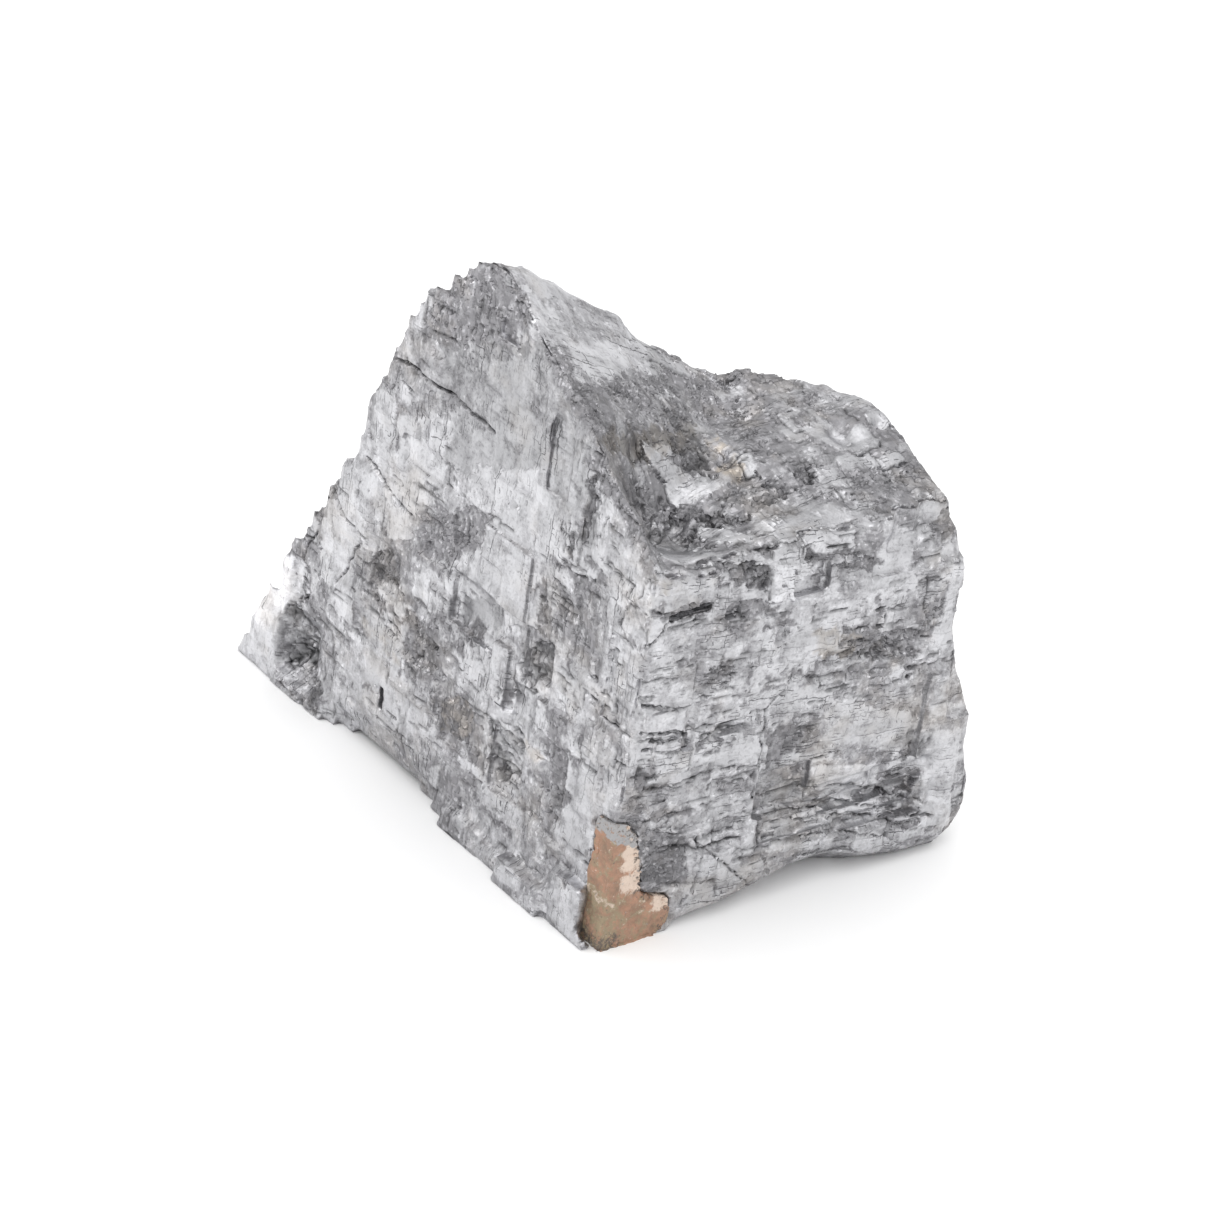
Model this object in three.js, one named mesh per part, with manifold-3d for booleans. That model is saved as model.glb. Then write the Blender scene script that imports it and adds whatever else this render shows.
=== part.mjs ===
// Galena specimen: one broken lump of lead ore with a small inclusion of iron-stained rock at its foot.
//
// Galena splits along three directions at right angles, so the lump is built in the frame of its own
// cleavage. X runs along the right face, Y along the left face and Z up the front edge, where the two
// faces meet. While it is built, the foot of the front edge is at (0, 0, 0). The group is moved at the
// end, so that the origin of the part is under the middle of the lump, on the surface it stands on.
import * as THREE from "three";
import { mergeVertices } from "three/addons/utils/BufferGeometryUtils.js";
import Module from "manifold-3d";

const wasm = await Module();
wasm.setup();

// ---------------------------------------------------------------- driving dimensions, in millimetres

const REACH = 70; // how far the cutting blocks run past the lump
const SKIN = 6; // how far a recess starts outside the face that it is on
const ROOT = 1; // how far a plate runs into the face that it stands on

// The left face seen square on, as [y, z] from the foot of the front edge, round the far side.
const LEFT_OUTLINE = [
  [-SKIN, -SKIN],
  [52.0, -SKIN],
  [52.4, 0.0],
  [52.9, 1.6],
  [51.5, 5.1],
  [49.4, 9.0],
  [47.7, 13.3],
  [45.8, 16.2],
  [43.3, 19.9],
  [41.6, 23.5],
  [39.3, 26.6],
  [38.5, 29.2],
  [38.5, 31.5],
  [36.9, 35.0],
  [35.3, 38.4],
  [33.8, 41.9],
  [31.2, 45.5],
  [29.7, 46.3],
  [26.6, 49.3],
  [24.0, 51.5],
  [20.0, 53.0],
  [14.0, 56.0],
  [-SKIN, 56.0],
];

// The back of the lump is the left outline carried along X. Each pair is [x, how far the outline has
// come forward along Y by there].
const BACK_COMES_FORWARD = [
  [-SKIN, -2.0],
  [0.0, 0.0],
  [4.5, 2.3],
  [8.3, 5.8],
  [12.9, 10.2],
  [16.7, 13.4],
  [20.3, 14.0],
  [26.0, 16.6],
  [30.0, 18.8],
  [33.0, 23.6],
  [44.0, 31.0],
];

// The right face seen square on, as [x, z].
const RIGHT_OUTLINE = [
  [-SKIN, -SKIN],
  [36.6, -SKIN],
  [36.8, 0.7],
  [38.3, 1.7],
  [39.1, 3.2],
  [39.1, 5.6],
  [37.8, 9.9],
  [37.8, 13.4],
  [36.9, 15.6],
  [35.2, 18.8],
  [34.2, 22.0],
  [34.2, 25.0],
  [33.3, 30.0],
  [32.3, 32.6],
  [31.7, 36.0],
  [31.7, REACH],
  [-SKIN, REACH],
];

// The ridge between the left face and the top, as [y, z] at x = 0.
const RIDGE = [
  [-SKIN, 33.4],
  [0.0, 34.6],
  [1.0, 35.6],
  [2.7, 37.8],
  [5.7, 39.7],
  [8.7, 41.7],
  [11.7, 43.7],
  [14.7, 45.4],
  [17.0, 46.5],
  [20.0, 48.2],
  [22.6, 50.2],
  [25.4, 50.0],
  [28.0, 49.4],
  [REACH, 60.0],
];

// The top behind the ridge: a smooth facet that falls to the right, a shoulder that runs nearly level
// to the right face, and the hollow and the valley between them.
const FACET_FALL = 0.468; // drop of the facet for each millimetre along X
const FRONT_FALL = 1.5; // the same, near the front edge, where the ridge stands over the hollow
const FALL_CHANGES = [5, 12]; // along Y, between these two, from the one to the other
const SHOULDER_HEIGHT = 34.3;
const SHOULDER_RISE = 0.22; // rise of the shoulder for each millimetre along Y

// Lumps (up) and hollows (down) of the top, as [x, y, radius along x, radius along y, height].
const TOP_LUMPS = [
  [7.4, 7.2, 4.6, 4.2, -2.6],
  [4.4, 4.4, 2.6, 2.4, -1.2],
  [12.5, 12.6, 3.6, 2.0, -1.3],
  [17.0, 16.0, 3.4, 1.8, -1.4],
  [21.2, 19.6, 1.1, 1.6, -0.8],
  [13.6, 9.0, 2.6, 2.4, 0.5],
  [18.4, 9.4, 3.2, 3.4, 0.6],
  [24.6, 9.0, 3.6, 4.4, 0.8],
  [29.4, 8.6, 2.6, 3.6, 0.5],
  [22.2, 3.4, 2.4, 2.0, 0.4],
  [16.6, 4.4, 1.6, 1.6, -0.8],
  [27.6, 3.6, 2.2, 1.8, -0.5],
  [31.8, 0.2, 2.4, 2.6, -1.7],
  [24.0, 19.6, 1.8, 2.0, 0.9],
  [31.2, 10.4, 2.4, 3.0, 1.3],
  [31.0, 15.4, 2.0, 2.0, 0.5],
  [1.2, 22.4, 1.8, 2.0, 0.5],
  [4.4, 25.8, 2.4, 2.4, 1.1],
];
const TOP_CELL = 1.5; // spacing of the grid that the top is made on
const TOP_ROUGHNESS = 0.28;
const TOP_END = { x: 40, y: 32 }; // the fine grid ends here, past the edges of the top

// Plates and recesses of the left face, as [y from, y to, z from, z to, depth]. A depth under zero
// is a plate that stands proud.
const LEFT_LEDGES = [
  [0.6, 6.3, -SKIN, 4.8, -1.2],
  [6.3, 12.6, -SKIN, 2.6, -1.8],
  [12.6, 16.0, -SKIN, 1.6, -0.9],
  [6.3, 10.4, 2.6, 6.2, -0.4],
  [16.0, 21.4, -SKIN, 2.2, -1.0],
  [23.8, 38.6, -SKIN, 2.0, 0.9],
  [27.2, 35.6, -SKIN, 3.4, 0.6],
  [39.8, 43.2, -SKIN, 3.0, -0.7],
  [43.2, 47.6, -SKIN, 1.3, -0.9],
  [47.6, 54.6, -SKIN, 6.4, -0.6],
  [41.8, 47.6, 1.3, 8.8, 0.65],
  [42.9, 46.9, 2.3, 7.5, 1.35],
  [43.7, 46.1, 3.1, 6.1, 2.05],
  [44.6, 47.0, 8.8, 12.6, 0.85],
  [48.6, 50.4, 8.4, 13.6, 0.5],
  [14.2, 20.8, 22.9, 28.9, -0.5],
  [17.4, 24.2, 18.0, 22.6, 0.6],
  [15.4, 18.0, 14.6, 19.9, -0.7],
  [10.5, 14.2, 17.2, 22.7, 0.55],
  [11.3, 13.3, 18.5, 20.7, 0.95],
  [12.0, 15.2, 12.2, 17.2, 0.35],
  [12.6, 16.8, 6.2, 12.2, 0.55],
  [13.5, 15.9, 7.7, 10.5, 0.95],
  [15.6, 28.6, 33.0, 43.6, 0.3],
  [19.8, 24.6, 7.0, 12.8, 0.4],
  [26.2, 31.0, 8.4, 12.0, -0.4],
  [31.8, 36.4, 16.0, 20.2, 0.45],
  [21.2, 25.3, 24.4, 29.1, 0.5],
  [25.6, 29.8, 21.6, 25.4, 0.4],
  [32.0, 32.7, 4.9, 7.2, 1.5],
  [31.0, 38.4, 30.6, 36.2, -0.3],
  [36.4, 43.4, 18.6, 25.6, -0.4],
  [36.8, 41.4, 9.6, 15.2, -0.3],
  [2.4, 5.2, 10.6, 18.8, -0.4],
  [6.2, 8.4, 9.0, 17.6, -0.3],
  [1.6, 4.0, 19.6, 27.4, 0.3],
  [5.0, 8.8, 22.0, 30.2, 0.3],
  [8.0, 9.4, 30.4, 38.8, 0.5],
  [11.6, 14.4, 34.8, 42.0, 0.4],
  [23.4, 27.6, 43.0, 47.6, 0.6],
  [20.0, 22.6, 44.4, 48.8, 0.7],
  [27.8, 30.2, 40.6, 45.0, 0.4],
  [25.0, 33.0, 28.8, 31.2, 0.3],
];

// The same for the right face, as [x from, x to, z from, z to, depth].
const RIGHT_LEDGES = [
  [0.6, 6.4, 30.6, 33.6, -0.4],
  [2.2, 6.4, 29.9, 30.6, 0.7],
  [3.2, 10.2, 33.6, REACH, 0.9],
  [6.6, 11.4, 32.8, 34.6, 0.5],
  [11.8, 14.8, 29.4, 32.8, -0.5],
  [14.8, 18.4, 29.2, REACH, 0.8],
  [18.4, 21.6, 31.2, REACH, 0.4],
  [24.6, 28.0, 30.8, REACH, 0.9],
  [28.0, REACH, 31.6, REACH, 1.6],
  [30.4, REACH, 29.0, REACH, 0.8],
  [7.2, 11.4, 24.8, 28.8, -0.2],
  [0.8, 5.8, 19.6, 21.9, -0.4],
  [2.4, 6.6, 16.0, 19.2, -0.5],
  [17.2, 33.0, 22.4, 23.6, 0.4],
  [22.4, 26.2, 19.4, 21.6, 0.8],
  [25.6, 31.0, 20.4, 23.6, 0.95],
  [26.7, 29.7, 21.3, 22.7, 1.35],
  [15.8, 32.0, 5.8, 22.4, 0.6],
  [14.4, 15.8, 8.6, 19.4, 0.6],
  [14.8, 20.6, 8.4, 12.4, 1.3],
  [20.6, 27.4, 8.2, 9.6, 1.1],
  [22.4, 32.8, 6.6, 8.0, 1.3],
  [27.6, 34.0, 8.2, 9.9, 1.0],
  [24.0, 33.4, 4.8, 5.8, 0.8],
  [16.0, 23.0, 6.6, 7.4, 1.0],
  [26.4, 29.8, 1.6, 4.4, -0.3],
  [30.2, 36.6, 1.2, 4.8, -0.4],
  [34.4, 36.8, 4.8, 12.4, -0.3],
  [34.6, REACH, 13.2, 18.0, 0.8],
  [32.0, REACH, 18.0, 25.6, 0.5],
  [8.8, 12.4, 3.0, 6.8, -0.4],
  [12.4, 15.4, 5.2, 8.4, -0.3],
  [9.4, 14.2, 10.2, 13.6, 0.3],
  [4.2, 8.4, 5.4, 9.4, 0.3],
];

// The right face is undercut along its foot, as [x, height of the undercut, how far it goes in].
const UNDERCUT = [
  [7.0, 0.0, 0.0],
  [8.0, 1.0, 1.1],
  [12.0, 1.4, 1.5],
  [16.0, 2.1, 2.1],
  [20.0, 3.1, 3.1],
  [24.5, 2.9, 3.8],
  [27.5, 1.6, 2.3],
  [32.5, 0.9, 1.0],
  [36.5, 0.7, 0.7],
  [42.0, 0.7, 0.7],
];

// The back goes down in small steps, fine along its rim and coarse below it. The outer corner of each
// step stands `proud` of the surface that the left outline sweeps, and up to `uneven` more.
const FINE_STEPS = { firstX: 0.2, firstZ: 0.5, alongX: 1.2, alongZ: 1.0, proud: 0.4, uneven: 0.5 };
const COARSE_STEPS = { firstX: 0.7, firstZ: 1.9, alongX: 4.2, alongZ: 3.8, proud: 0.0, uneven: 2.2 };
const STEP_SHARE = [0.4, 2.2]; // the shortest and the longest step, for a middling one of 1
const RIM_WIDTH = 3.5; // along the rim, below the top and in from the left face
const STEPS_END = { x: 46.0, z: 54.0 }; // past the far sides of the lump

// Big steps broken out of the back, as [x from, y from, z from], each open away from the front edge.
const BIG_STEPS = [
  [31.0, 24.5, 13.0],
  [27.0, 29.5, 7.5],
  [20.0, 34.0, 5.2],
  [12.5, 38.5, 9.8],
  [24.0, 20.5, 25.5],
  [15.5, 28.0, 20.5],
  [6.5, 34.5, 24.0],
  [4.5, 41.5, 14.0],
  [18.0, 22.0, 31.0],
  [8.5, 28.0, 33.5],
  [30.5, 17.5, 24.0],
  [34.5, 9.5, 17.5],
  [36.4, 18.0, 6.8],
];

// Steps broken out of the side on the right, as [x from, y from, y to, z from, z to].
const SIDE_STEPS = [
  [36.6, 5.4, 14.2, -SKIN, 4.2],
  [35.8, 9.8, 17.6, 10.2, 16.4],
  [37.9, 13.6, 22.0, 3.8, 8.8],
  [33.2, 4.8, 9.8, 17.4, 22.8],
  [31.6, 10.6, 16.2, 24.8, 29.6],
  [32.4, 3.6, 7.4, 26.2, 31.8],
  [34.4, 20.4, 26.8, 1.4, 6.4],
];

// Recesses of the underside, as [x from, x to, y from, y to, depth]. The rest of it is one flat face.
const UNDERSIDE_RECESSES = [
  [-SKIN, 6.4, 26.6, 36.8, 0.5],
  [24.2, REACH, 14.6, 19.4, 0.4],
  [11.8, 21.6, 31.4, REACH, 0.7],
  [33.4, REACH, 5.2, 12.6, 0.6],
  [3.6, 9.2, 43.2, REACH, 0.4],
  [13.4, 22.8, 4.8, 8.6, 0.5],
  [27.0, 31.6, 20.8, REACH, 0.6],
];

// Small breaks scattered over the top and over the side on the right, open outwards. The sizes are how
// deep they go, and the rest is where on the surface their first corner can be.
const TOP_BREAKS = { count: 34, smallest: 0.4, largest: 1.1, x: [1.5, 29.5], y: [1, 23] };
const SIDE_BREAKS = { count: 26, smallest: 0.4, largest: 1.5, y: [2, 24], z: [2, 31] };
const BREAK_SPREAD = [1, 3]; // the least and the most that a break is longer than it is deep

// Small plates and recesses scattered over the two faces.
const SMALL_LEDGES = { count: 46, shortest: 1.2, longest: 5.0, deepest: 0.45, proudShare: 0.4 };
const LEFT_SPREAD = [50, 44]; // how far over the left face they are scattered, along Y and Z
const RIGHT_SPREAD = [36, 32]; // and over the right face, along X and Z
const SNAP = 0.2; // spacing of the grid that the scattered steps, breaks and ledges lie on
const SEED = 11;

// The stained rock at the foot of the front edge, as [x, z] on the right face.
const STAIN_OUTLINE = [
  [-SKIN, 0.0],
  [5.6, 0.0],
  [6.5, 1.3],
  [6.4, 3.2],
  [3.8, 3.9],
  [3.1, 4.6],
  [2.5, 8.6],
  [1.9, 10.2],
  [1.0, 11.3],
  [-SKIN, 11.3],
];
const STAIN_DEPTH = 2.1; // along Y, from the right face inwards
const STAIN_GAP = 0.3; // between the stained rock and the galena round it

// ---------------------------------------------------------------- helpers

/** Numbers from 0 to 1 that are the same in each run. */
function seededRandom(seed) {
  let state = seed;
  return () => {
    state = (state + 0x6d2b79f5) | 0;
    let mixed = Math.imul(state ^ (state >>> 15), 1 | state);
    mixed = (mixed + Math.imul(mixed ^ (mixed >>> 7), 61 | mixed)) ^ mixed;
    return ((mixed ^ (mixed >>> 14)) >>> 0) / 4294967296;
  };
}

/** A scattered size or place, put on a fine grid that lies between the planes of the named ledges. */
function snapped(value) {
  return Math.round(value / SNAP) * SNAP + SNAP / 4;
}

/** A number between two ends, for `share` of the way from the first to the second. */
function along([from, to], share) {
  return from + (to - from) * share;
}

/** The value in column `column` of a table at `at`, on straight lines between its rows. */
function between(table, at, column = 1) {
  const last = table.length - 1;
  if (at <= table[0][0]) return table[0][column];
  if (at >= table[last][0]) return table[last][column];
  const next = table.findIndex((row) => row[0] > at);
  const from = table[next - 1];
  const to = table[next];
  const share = (at - from[0]) / (to[0] - from[0]);
  return from[column] + share * (to[column] - from[column]);
}

/** A closed three.js geometry as a solid that can be joined and cut. */
function toSolid(geometry) {
  const bare = geometry.clone();
  bare.deleteAttribute("normal");
  bare.deleteAttribute("uv");
  const merged = mergeVertices(bare, 1e-5);
  return new wasm.Manifold(
    new wasm.Mesh({
      numProp: 3,
      vertProperties: new Float32Array(merged.attributes.position.array),
      triVerts: new Uint32Array(merged.index.array),
    }),
  );
}

/** A solid as a three.js mesh. */
function toMesh(solid, name, material) {
  const { numProp, vertProperties, triVerts } = solid.getMesh();
  const positions = new Float32Array((vertProperties.length / numProp) * 3);
  for (let i = 0; i < positions.length / 3; i += 1) {
    positions.set(vertProperties.subarray(i * numProp, i * numProp + 3), i * 3);
  }
  const geometry = new THREE.BufferGeometry();
  geometry.setAttribute("position", new THREE.BufferAttribute(positions, 3));
  geometry.setIndex(new THREE.BufferAttribute(new Uint32Array(triVerts), 1));
  geometry.computeVertexNormals();
  const mesh = new THREE.Mesh(geometry, material);
  mesh.name = name;
  return mesh;
}

/** A block between two corners. */
function block([x0, y0, z0], [x1, y1, z1]) {
  const geometry = new THREE.BoxGeometry(x1 - x0, y1 - y0, z1 - z0);
  geometry.translate((x0 + x1) / 2, (y0 + y1) / 2, (z0 + z1) / 2);
  return toSolid(geometry);
}

/** An outline carried from `from` to `to`. `place(u, v, w)` gives the point of outline point (u, v) at w. */
function carried(outline, stations, place) {
  const shape = new THREE.Shape(outline.map(([u, v]) => new THREE.Vector2(u, v)));
  const steps = stations.length - 1;
  const geometry = new THREE.ExtrudeGeometry(shape, { depth: steps, steps, bevelEnabled: false });
  const position = geometry.getAttribute("position");
  for (let i = 0; i < position.count; i += 1) {
    const station = stations[Math.round(position.getZ(i))];
    position.setXYZ(i, ...place(position.getX(i), position.getY(i), station));
  }
  const solid = toSolid(geometry);
  return solid.volume() < 0 ? toSolid(turnedInsideOut(geometry)) : solid;
}

/** The same geometry with each triangle turned round. */
function turnedInsideOut(geometry) {
  const turned = geometry.index ? geometry.toNonIndexed() : geometry.clone();
  const position = turned.getAttribute("position");
  for (let i = 0; i < position.count; i += 3) {
    const a = new THREE.Vector3().fromBufferAttribute(position, i);
    const b = new THREE.Vector3().fromBufferAttribute(position, i + 1);
    position.setXYZ(i, b.x, b.y, b.z);
    position.setXYZ(i + 1, a.x, a.y, a.z);
  }
  return turned;
}

/** All of a list of solids, joined. */
function joined(solids) {
  return wasm.Manifold.union(solids);
}

// ---------------------------------------------------------------- the faces

/** Height of the top at a point of the plan. */
function topHeight(x, y) {
  const pastFront = THREE.MathUtils.smoothstep(y, ...FALL_CHANGES);
  const fall = THREE.MathUtils.lerp(FRONT_FALL, FACET_FALL, pastFront);
  const facet = between(RIDGE, y) - fall * Math.max(x, 0);
  const shoulder = SHOULDER_HEIGHT + SHOULDER_RISE * y;
  let height = Math.max(facet, shoulder);
  for (const [lumpX, lumpY, radiusX, radiusY, lift] of TOP_LUMPS) {
    const away = ((x - lumpX) / radiusX) ** 2 + ((y - lumpY) / radiusY) ** 2;
    height += lift * Math.exp(-away);
  }
  return height;
}

/** The block whose upper side is the broken top. */
function topBlock(random) {
  const columns = Math.round((TOP_END.x + SKIN) / TOP_CELL);
  const rows = Math.round((TOP_END.y + SKIN) / TOP_CELL);
  const geometry = new THREE.BoxGeometry(columns, rows, 1, columns, rows, 1);
  const position = geometry.getAttribute("position");
  const jitter = Array.from({ length: (columns + 1) * (rows + 1) }, () => random() - 0.5);
  for (let i = 0; i < position.count; i += 1) {
    const column = Math.round(position.getX(i) + columns / 2);
    const row = Math.round(position.getY(i) + rows / 2);
    const x = column === columns ? REACH : column * TOP_CELL - SKIN;
    const y = row === rows ? REACH : row * TOP_CELL - SKIN;
    const uneven = 2 * TOP_ROUGHNESS * jitter[row * (columns + 1) + column];
    position.setXYZ(i, x, y, position.getZ(i) > 0 ? topHeight(x, y) + uneven : -SKIN);
  }
  return toSolid(geometry);
}

/** Small ledges scattered over a face of the given length and height. */
function scatteredLedges(random, [length, height]) {
  const { count, shortest, longest, deepest, proudShare } = SMALL_LEDGES;
  return Array.from({ length: count }, () => {
    const width = along([shortest, longest], random() ** 2);
    const tall = along([shortest, longest], random() ** 2);
    const from = random() * length;
    const up = random() * height;
    const depth = (random() - proudShare) * 2 * deepest;
    return [from, from + width, up, up + tall, depth].map(snapped);
  });
}

/** A half-space from x = 0 or y = 0 inwards, with plates added and recesses taken out. */
function ledgedFace(ledges, boxOn) {
  const face = boxOn(-REACH, REACH, -REACH, REACH, 0, REACH);
  const plates = ledges.filter((ledge) => ledge[4] < 0);
  const recesses = ledges.filter((ledge) => ledge[4] > 0);
  const proud = joined(plates.map(([a, b, c, d, depth]) => boxOn(a, b, c, d, depth, ROOT)));
  const taken = joined(recesses.map(([a, b, c, d, depth]) => boxOn(a, b, c, d, -SKIN, depth)));
  return face.add(proud).subtract(taken);
}

/** The left face, with its ledges. */
function leftFace(random) {
  const ledges = [...scatteredLedges(random, LEFT_SPREAD), ...LEFT_LEDGES];
  return ledgedFace(ledges, (y0, y1, z0, z1, x0, x1) => block([x0, y0, z0], [x1, y1, z1]));
}

/** The right face, with its ledges. */
function rightFace(random) {
  const ledges = [...scatteredLedges(random, RIGHT_SPREAD), ...RIGHT_LEDGES];
  return ledgedFace(ledges, (x0, x1, z0, z1, y0, y1) => block([x0, y0, z0], [x1, y1, z1]));
}

/** The right outline, carried straight back along Y. */
function rightOutlineBody() {
  return carried(RIGHT_OUTLINE, [-SKIN, REACH], (x, z, y) => [x, y, z]);
}

/** The wedge that is missing along the foot of the right face. */
function undercut() {
  const profile = [
    [-SKIN, -SKIN],
    [1, -SKIN],
    [1, 0],
    [0, 1],
    [-SKIN, 1],
  ];
  const stations = UNDERCUT.map(([x]) => x);
  return carried(profile, stations, (u, v, x) => {
    const y = u > 0 ? between(UNDERCUT, x, 2) : u;
    const z = v > 0 ? between(UNDERCUT, x, 1) : v;
    return [x, y, z];
  });
}

/** Where the back is along Y, at a place along X and a height. */
function backReach(x, z) {
  const edge = LEFT_OUTLINE.filter(([, height]) => height >= 0).map(([y, height]) => [height, y]);
  return between(edge, z) - between(BACK_COMES_FORWARD, x);
}

/** Blocks that all start under the lump, and whose outer corners lie near the back of it. */
function stepBlocks(random, { firstX, firstZ, alongX, alongZ, proud, uneven }, isWanted) {
  const blocks = [];
  const share = () => along(STEP_SHARE, random() ** 2);
  for (let x = firstX; x < STEPS_END.x; x += alongX * share()) {
    for (let z = firstZ; z < STEPS_END.z; z += alongZ * share()) {
      const y = backReach(x, z) + proud + uneven * random() ** 2;
      if (y > 0 && isWanted(x, z)) blocks.push(block([-SKIN, -SKIN, -SKIN], [x, y, z].map(snapped)));
    }
  }
  return blocks;
}

/** The body that the small steps of the back leave. */
function steppedBody(random) {
  const isRim = (x, z) => x < RIM_WIDTH || z > topHeight(x, backReach(x, z)) - RIM_WIDTH;
  const coarse = stepBlocks(random, COARSE_STEPS, (x, z) => !isRim(x, z));
  const fine = stepBlocks(random, FINE_STEPS, isRim);
  return joined([...coarse, ...fine]);
}

/** The big steps of the back, each a block that is open upwards and away from the front edge. */
function bigSteps() {
  return joined(BIG_STEPS.map(([x, y, z]) => block([x, y, z], [REACH, REACH, REACH])));
}

/** The steps of the side on the right, each open away from the lump. */
function sideSteps() {
  return joined(SIDE_STEPS.map(([x, y0, y1, z0, z1]) => block([x, y0, z0], [REACH, y1, z1])));
}

/** Small breaks scattered over the side on the right. */
function sideBreaks(random) {
  const sideOutline = RIGHT_OUTLINE.filter(([x]) => x > 0).map(([x, z]) => [z, x]);
  const breaks = Array.from({ length: SIDE_BREAKS.count }, () => {
    const y = along(SIDE_BREAKS.y, random());
    const z = along(SIDE_BREAKS.z, random());
    const deep = along([SIDE_BREAKS.smallest, SIDE_BREAKS.largest], random() ** 2);
    const wide = deep * along(BREAK_SPREAD, random());
    const tall = deep * along(BREAK_SPREAD, random());
    const corner = [between(sideOutline, z) - deep, y, z];
    return block(corner.map(snapped), [REACH, y + wide, z + tall].map(snapped));
  });
  return joined(breaks);
}

/** The shallow recesses of the underside. */
function undersideRecesses() {
  return joined(
    UNDERSIDE_RECESSES.map(([x0, x1, y0, y1, depth]) => block([x0, y0, -SKIN], [x1, y1, depth])),
  );
}

/** Small flat-bottomed breaks scattered over the top. */
function topBreaks(random) {
  const breaks = Array.from({ length: TOP_BREAKS.count }, () => {
    const x = along(TOP_BREAKS.x, random());
    const y = along(TOP_BREAKS.y, random());
    const deep = along([TOP_BREAKS.smallest, TOP_BREAKS.largest], random() ** 2);
    const long = deep * along(BREAK_SPREAD, random());
    const wide = deep * along(BREAK_SPREAD, random());
    const corner = [x, y, topHeight(x, y) - deep];
    return block(corner.map(snapped), [x + long, y + wide, REACH].map(snapped));
  });
  return joined(breaks);
}

// ---------------------------------------------------------------- the two pieces

/** The stained rock, grown outwards by `grow` on each side. */
function stainedRock(grow) {
  const outline = STAIN_OUTLINE.map(([x, z]) => [x + grow, z > 0 ? z + grow : z - grow]);
  const front = -grow;
  const back = STAIN_DEPTH + grow;
  return carried(outline, [front, back], (x, z, y) => [Math.max(x, front), y, z]);
}

/** The lump of galena, with the pocket that holds the stained rock. */
function galenaMass() {
  const random = seededRandom(SEED);
  const top = topBlock(random);
  const left = leftFace(random);
  const right = rightFace(random);
  const aboveGround = block([-SKIN, -SKIN, 0], [REACH, REACH, REACH]);
  return aboveGround
    .intersect(steppedBody(random))
    .intersect(rightOutlineBody())
    .intersect(top)
    .intersect(left)
    .intersect(right)
    .subtract(undercut())
    .subtract(bigSteps())
    .subtract(sideSteps())
    .subtract(undersideRecesses())
    .subtract(topBreaks(random))
    .subtract(sideBreaks(random))
    .subtract(stainedRock(STAIN_GAP));
}

const galenaMaterial = new THREE.MeshStandardMaterial({ color: 0xc4c4c6, roughness: 0.35, metalness: 1 });
const stainedMaterial = new THREE.MeshStandardMaterial({ color: 0xb08a6e, roughness: 0.85, metalness: 0 });

const specimen = new THREE.Group();
const galena = galenaMass();
specimen.add(toMesh(galena, "galena_mass", galenaMaterial));
specimen.add(toMesh(stainedRock(0), "stained_rock", stainedMaterial));

// The origin of the part is under the middle of the lump, on the surface that it stands on.
const bounds = new THREE.Box3().setFromObject(specimen);
const middle = bounds.getCenter(new THREE.Vector3());
specimen.position.set(-middle.x, -middle.y, -bounds.min.z);

export default specimen;
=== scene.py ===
"""Looks of the galena specimen: the dressed lump, its stained rock, the floor, the light and the camera."""

import logging
import math
from dataclasses import dataclass, field
from enum import Enum
from typing import NamedTuple

import bpy
import numpy as np
from mathutils import Matrix, Vector
from mathutils.bvhtree import BVHTree
from mathutils.kdtree import KDTree


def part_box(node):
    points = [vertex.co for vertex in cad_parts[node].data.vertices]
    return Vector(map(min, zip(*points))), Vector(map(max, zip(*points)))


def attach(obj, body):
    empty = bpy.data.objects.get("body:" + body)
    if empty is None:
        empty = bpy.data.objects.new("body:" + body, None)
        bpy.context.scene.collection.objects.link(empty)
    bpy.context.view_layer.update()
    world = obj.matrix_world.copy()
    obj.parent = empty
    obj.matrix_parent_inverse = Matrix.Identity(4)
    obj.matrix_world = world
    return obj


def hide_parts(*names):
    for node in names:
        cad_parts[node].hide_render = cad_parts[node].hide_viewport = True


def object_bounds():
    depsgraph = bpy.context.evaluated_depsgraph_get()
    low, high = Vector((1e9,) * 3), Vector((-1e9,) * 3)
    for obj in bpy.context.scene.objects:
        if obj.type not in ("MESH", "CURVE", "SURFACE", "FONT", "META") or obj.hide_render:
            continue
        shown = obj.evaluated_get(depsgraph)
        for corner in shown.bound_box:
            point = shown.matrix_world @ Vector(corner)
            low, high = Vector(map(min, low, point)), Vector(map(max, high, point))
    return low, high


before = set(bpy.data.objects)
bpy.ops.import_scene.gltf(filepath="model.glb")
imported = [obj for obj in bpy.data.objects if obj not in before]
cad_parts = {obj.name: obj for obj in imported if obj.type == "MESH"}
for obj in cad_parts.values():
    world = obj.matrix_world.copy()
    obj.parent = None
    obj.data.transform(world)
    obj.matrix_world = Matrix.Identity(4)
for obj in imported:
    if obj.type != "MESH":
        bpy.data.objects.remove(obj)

CAD_BOX = [[float(value) for value in corner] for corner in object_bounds()]

LOG = logging.getLogger("galena_specimen")
MM = 0.001  # one millimetre in metres

Point = tuple[float, float]
Points = tuple[Point, ...]
Colour = tuple[float, float, float, float]
Octaves = tuple[tuple[float, float, float], ...]
Socket = bpy.types.NodeSocket
Value = float | tuple[float, ...] | Socket

# The solid's corner frame has its zero at the foot of the front edge: X runs along the right face, Y
# along the left face, Z up the edge. The lowest corner of the lump's box lies here in that frame.
BOX_CORNER_MM = Vector((-1.8, -0.5, 0.0))


def corner_origin() -> Vector:
    """Returns the foot of the front edge in the part's frame, in metres."""
    lowest = Vector(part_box("galena_mass")[0])
    return lowest - BOX_CORNER_MM * MM


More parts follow.
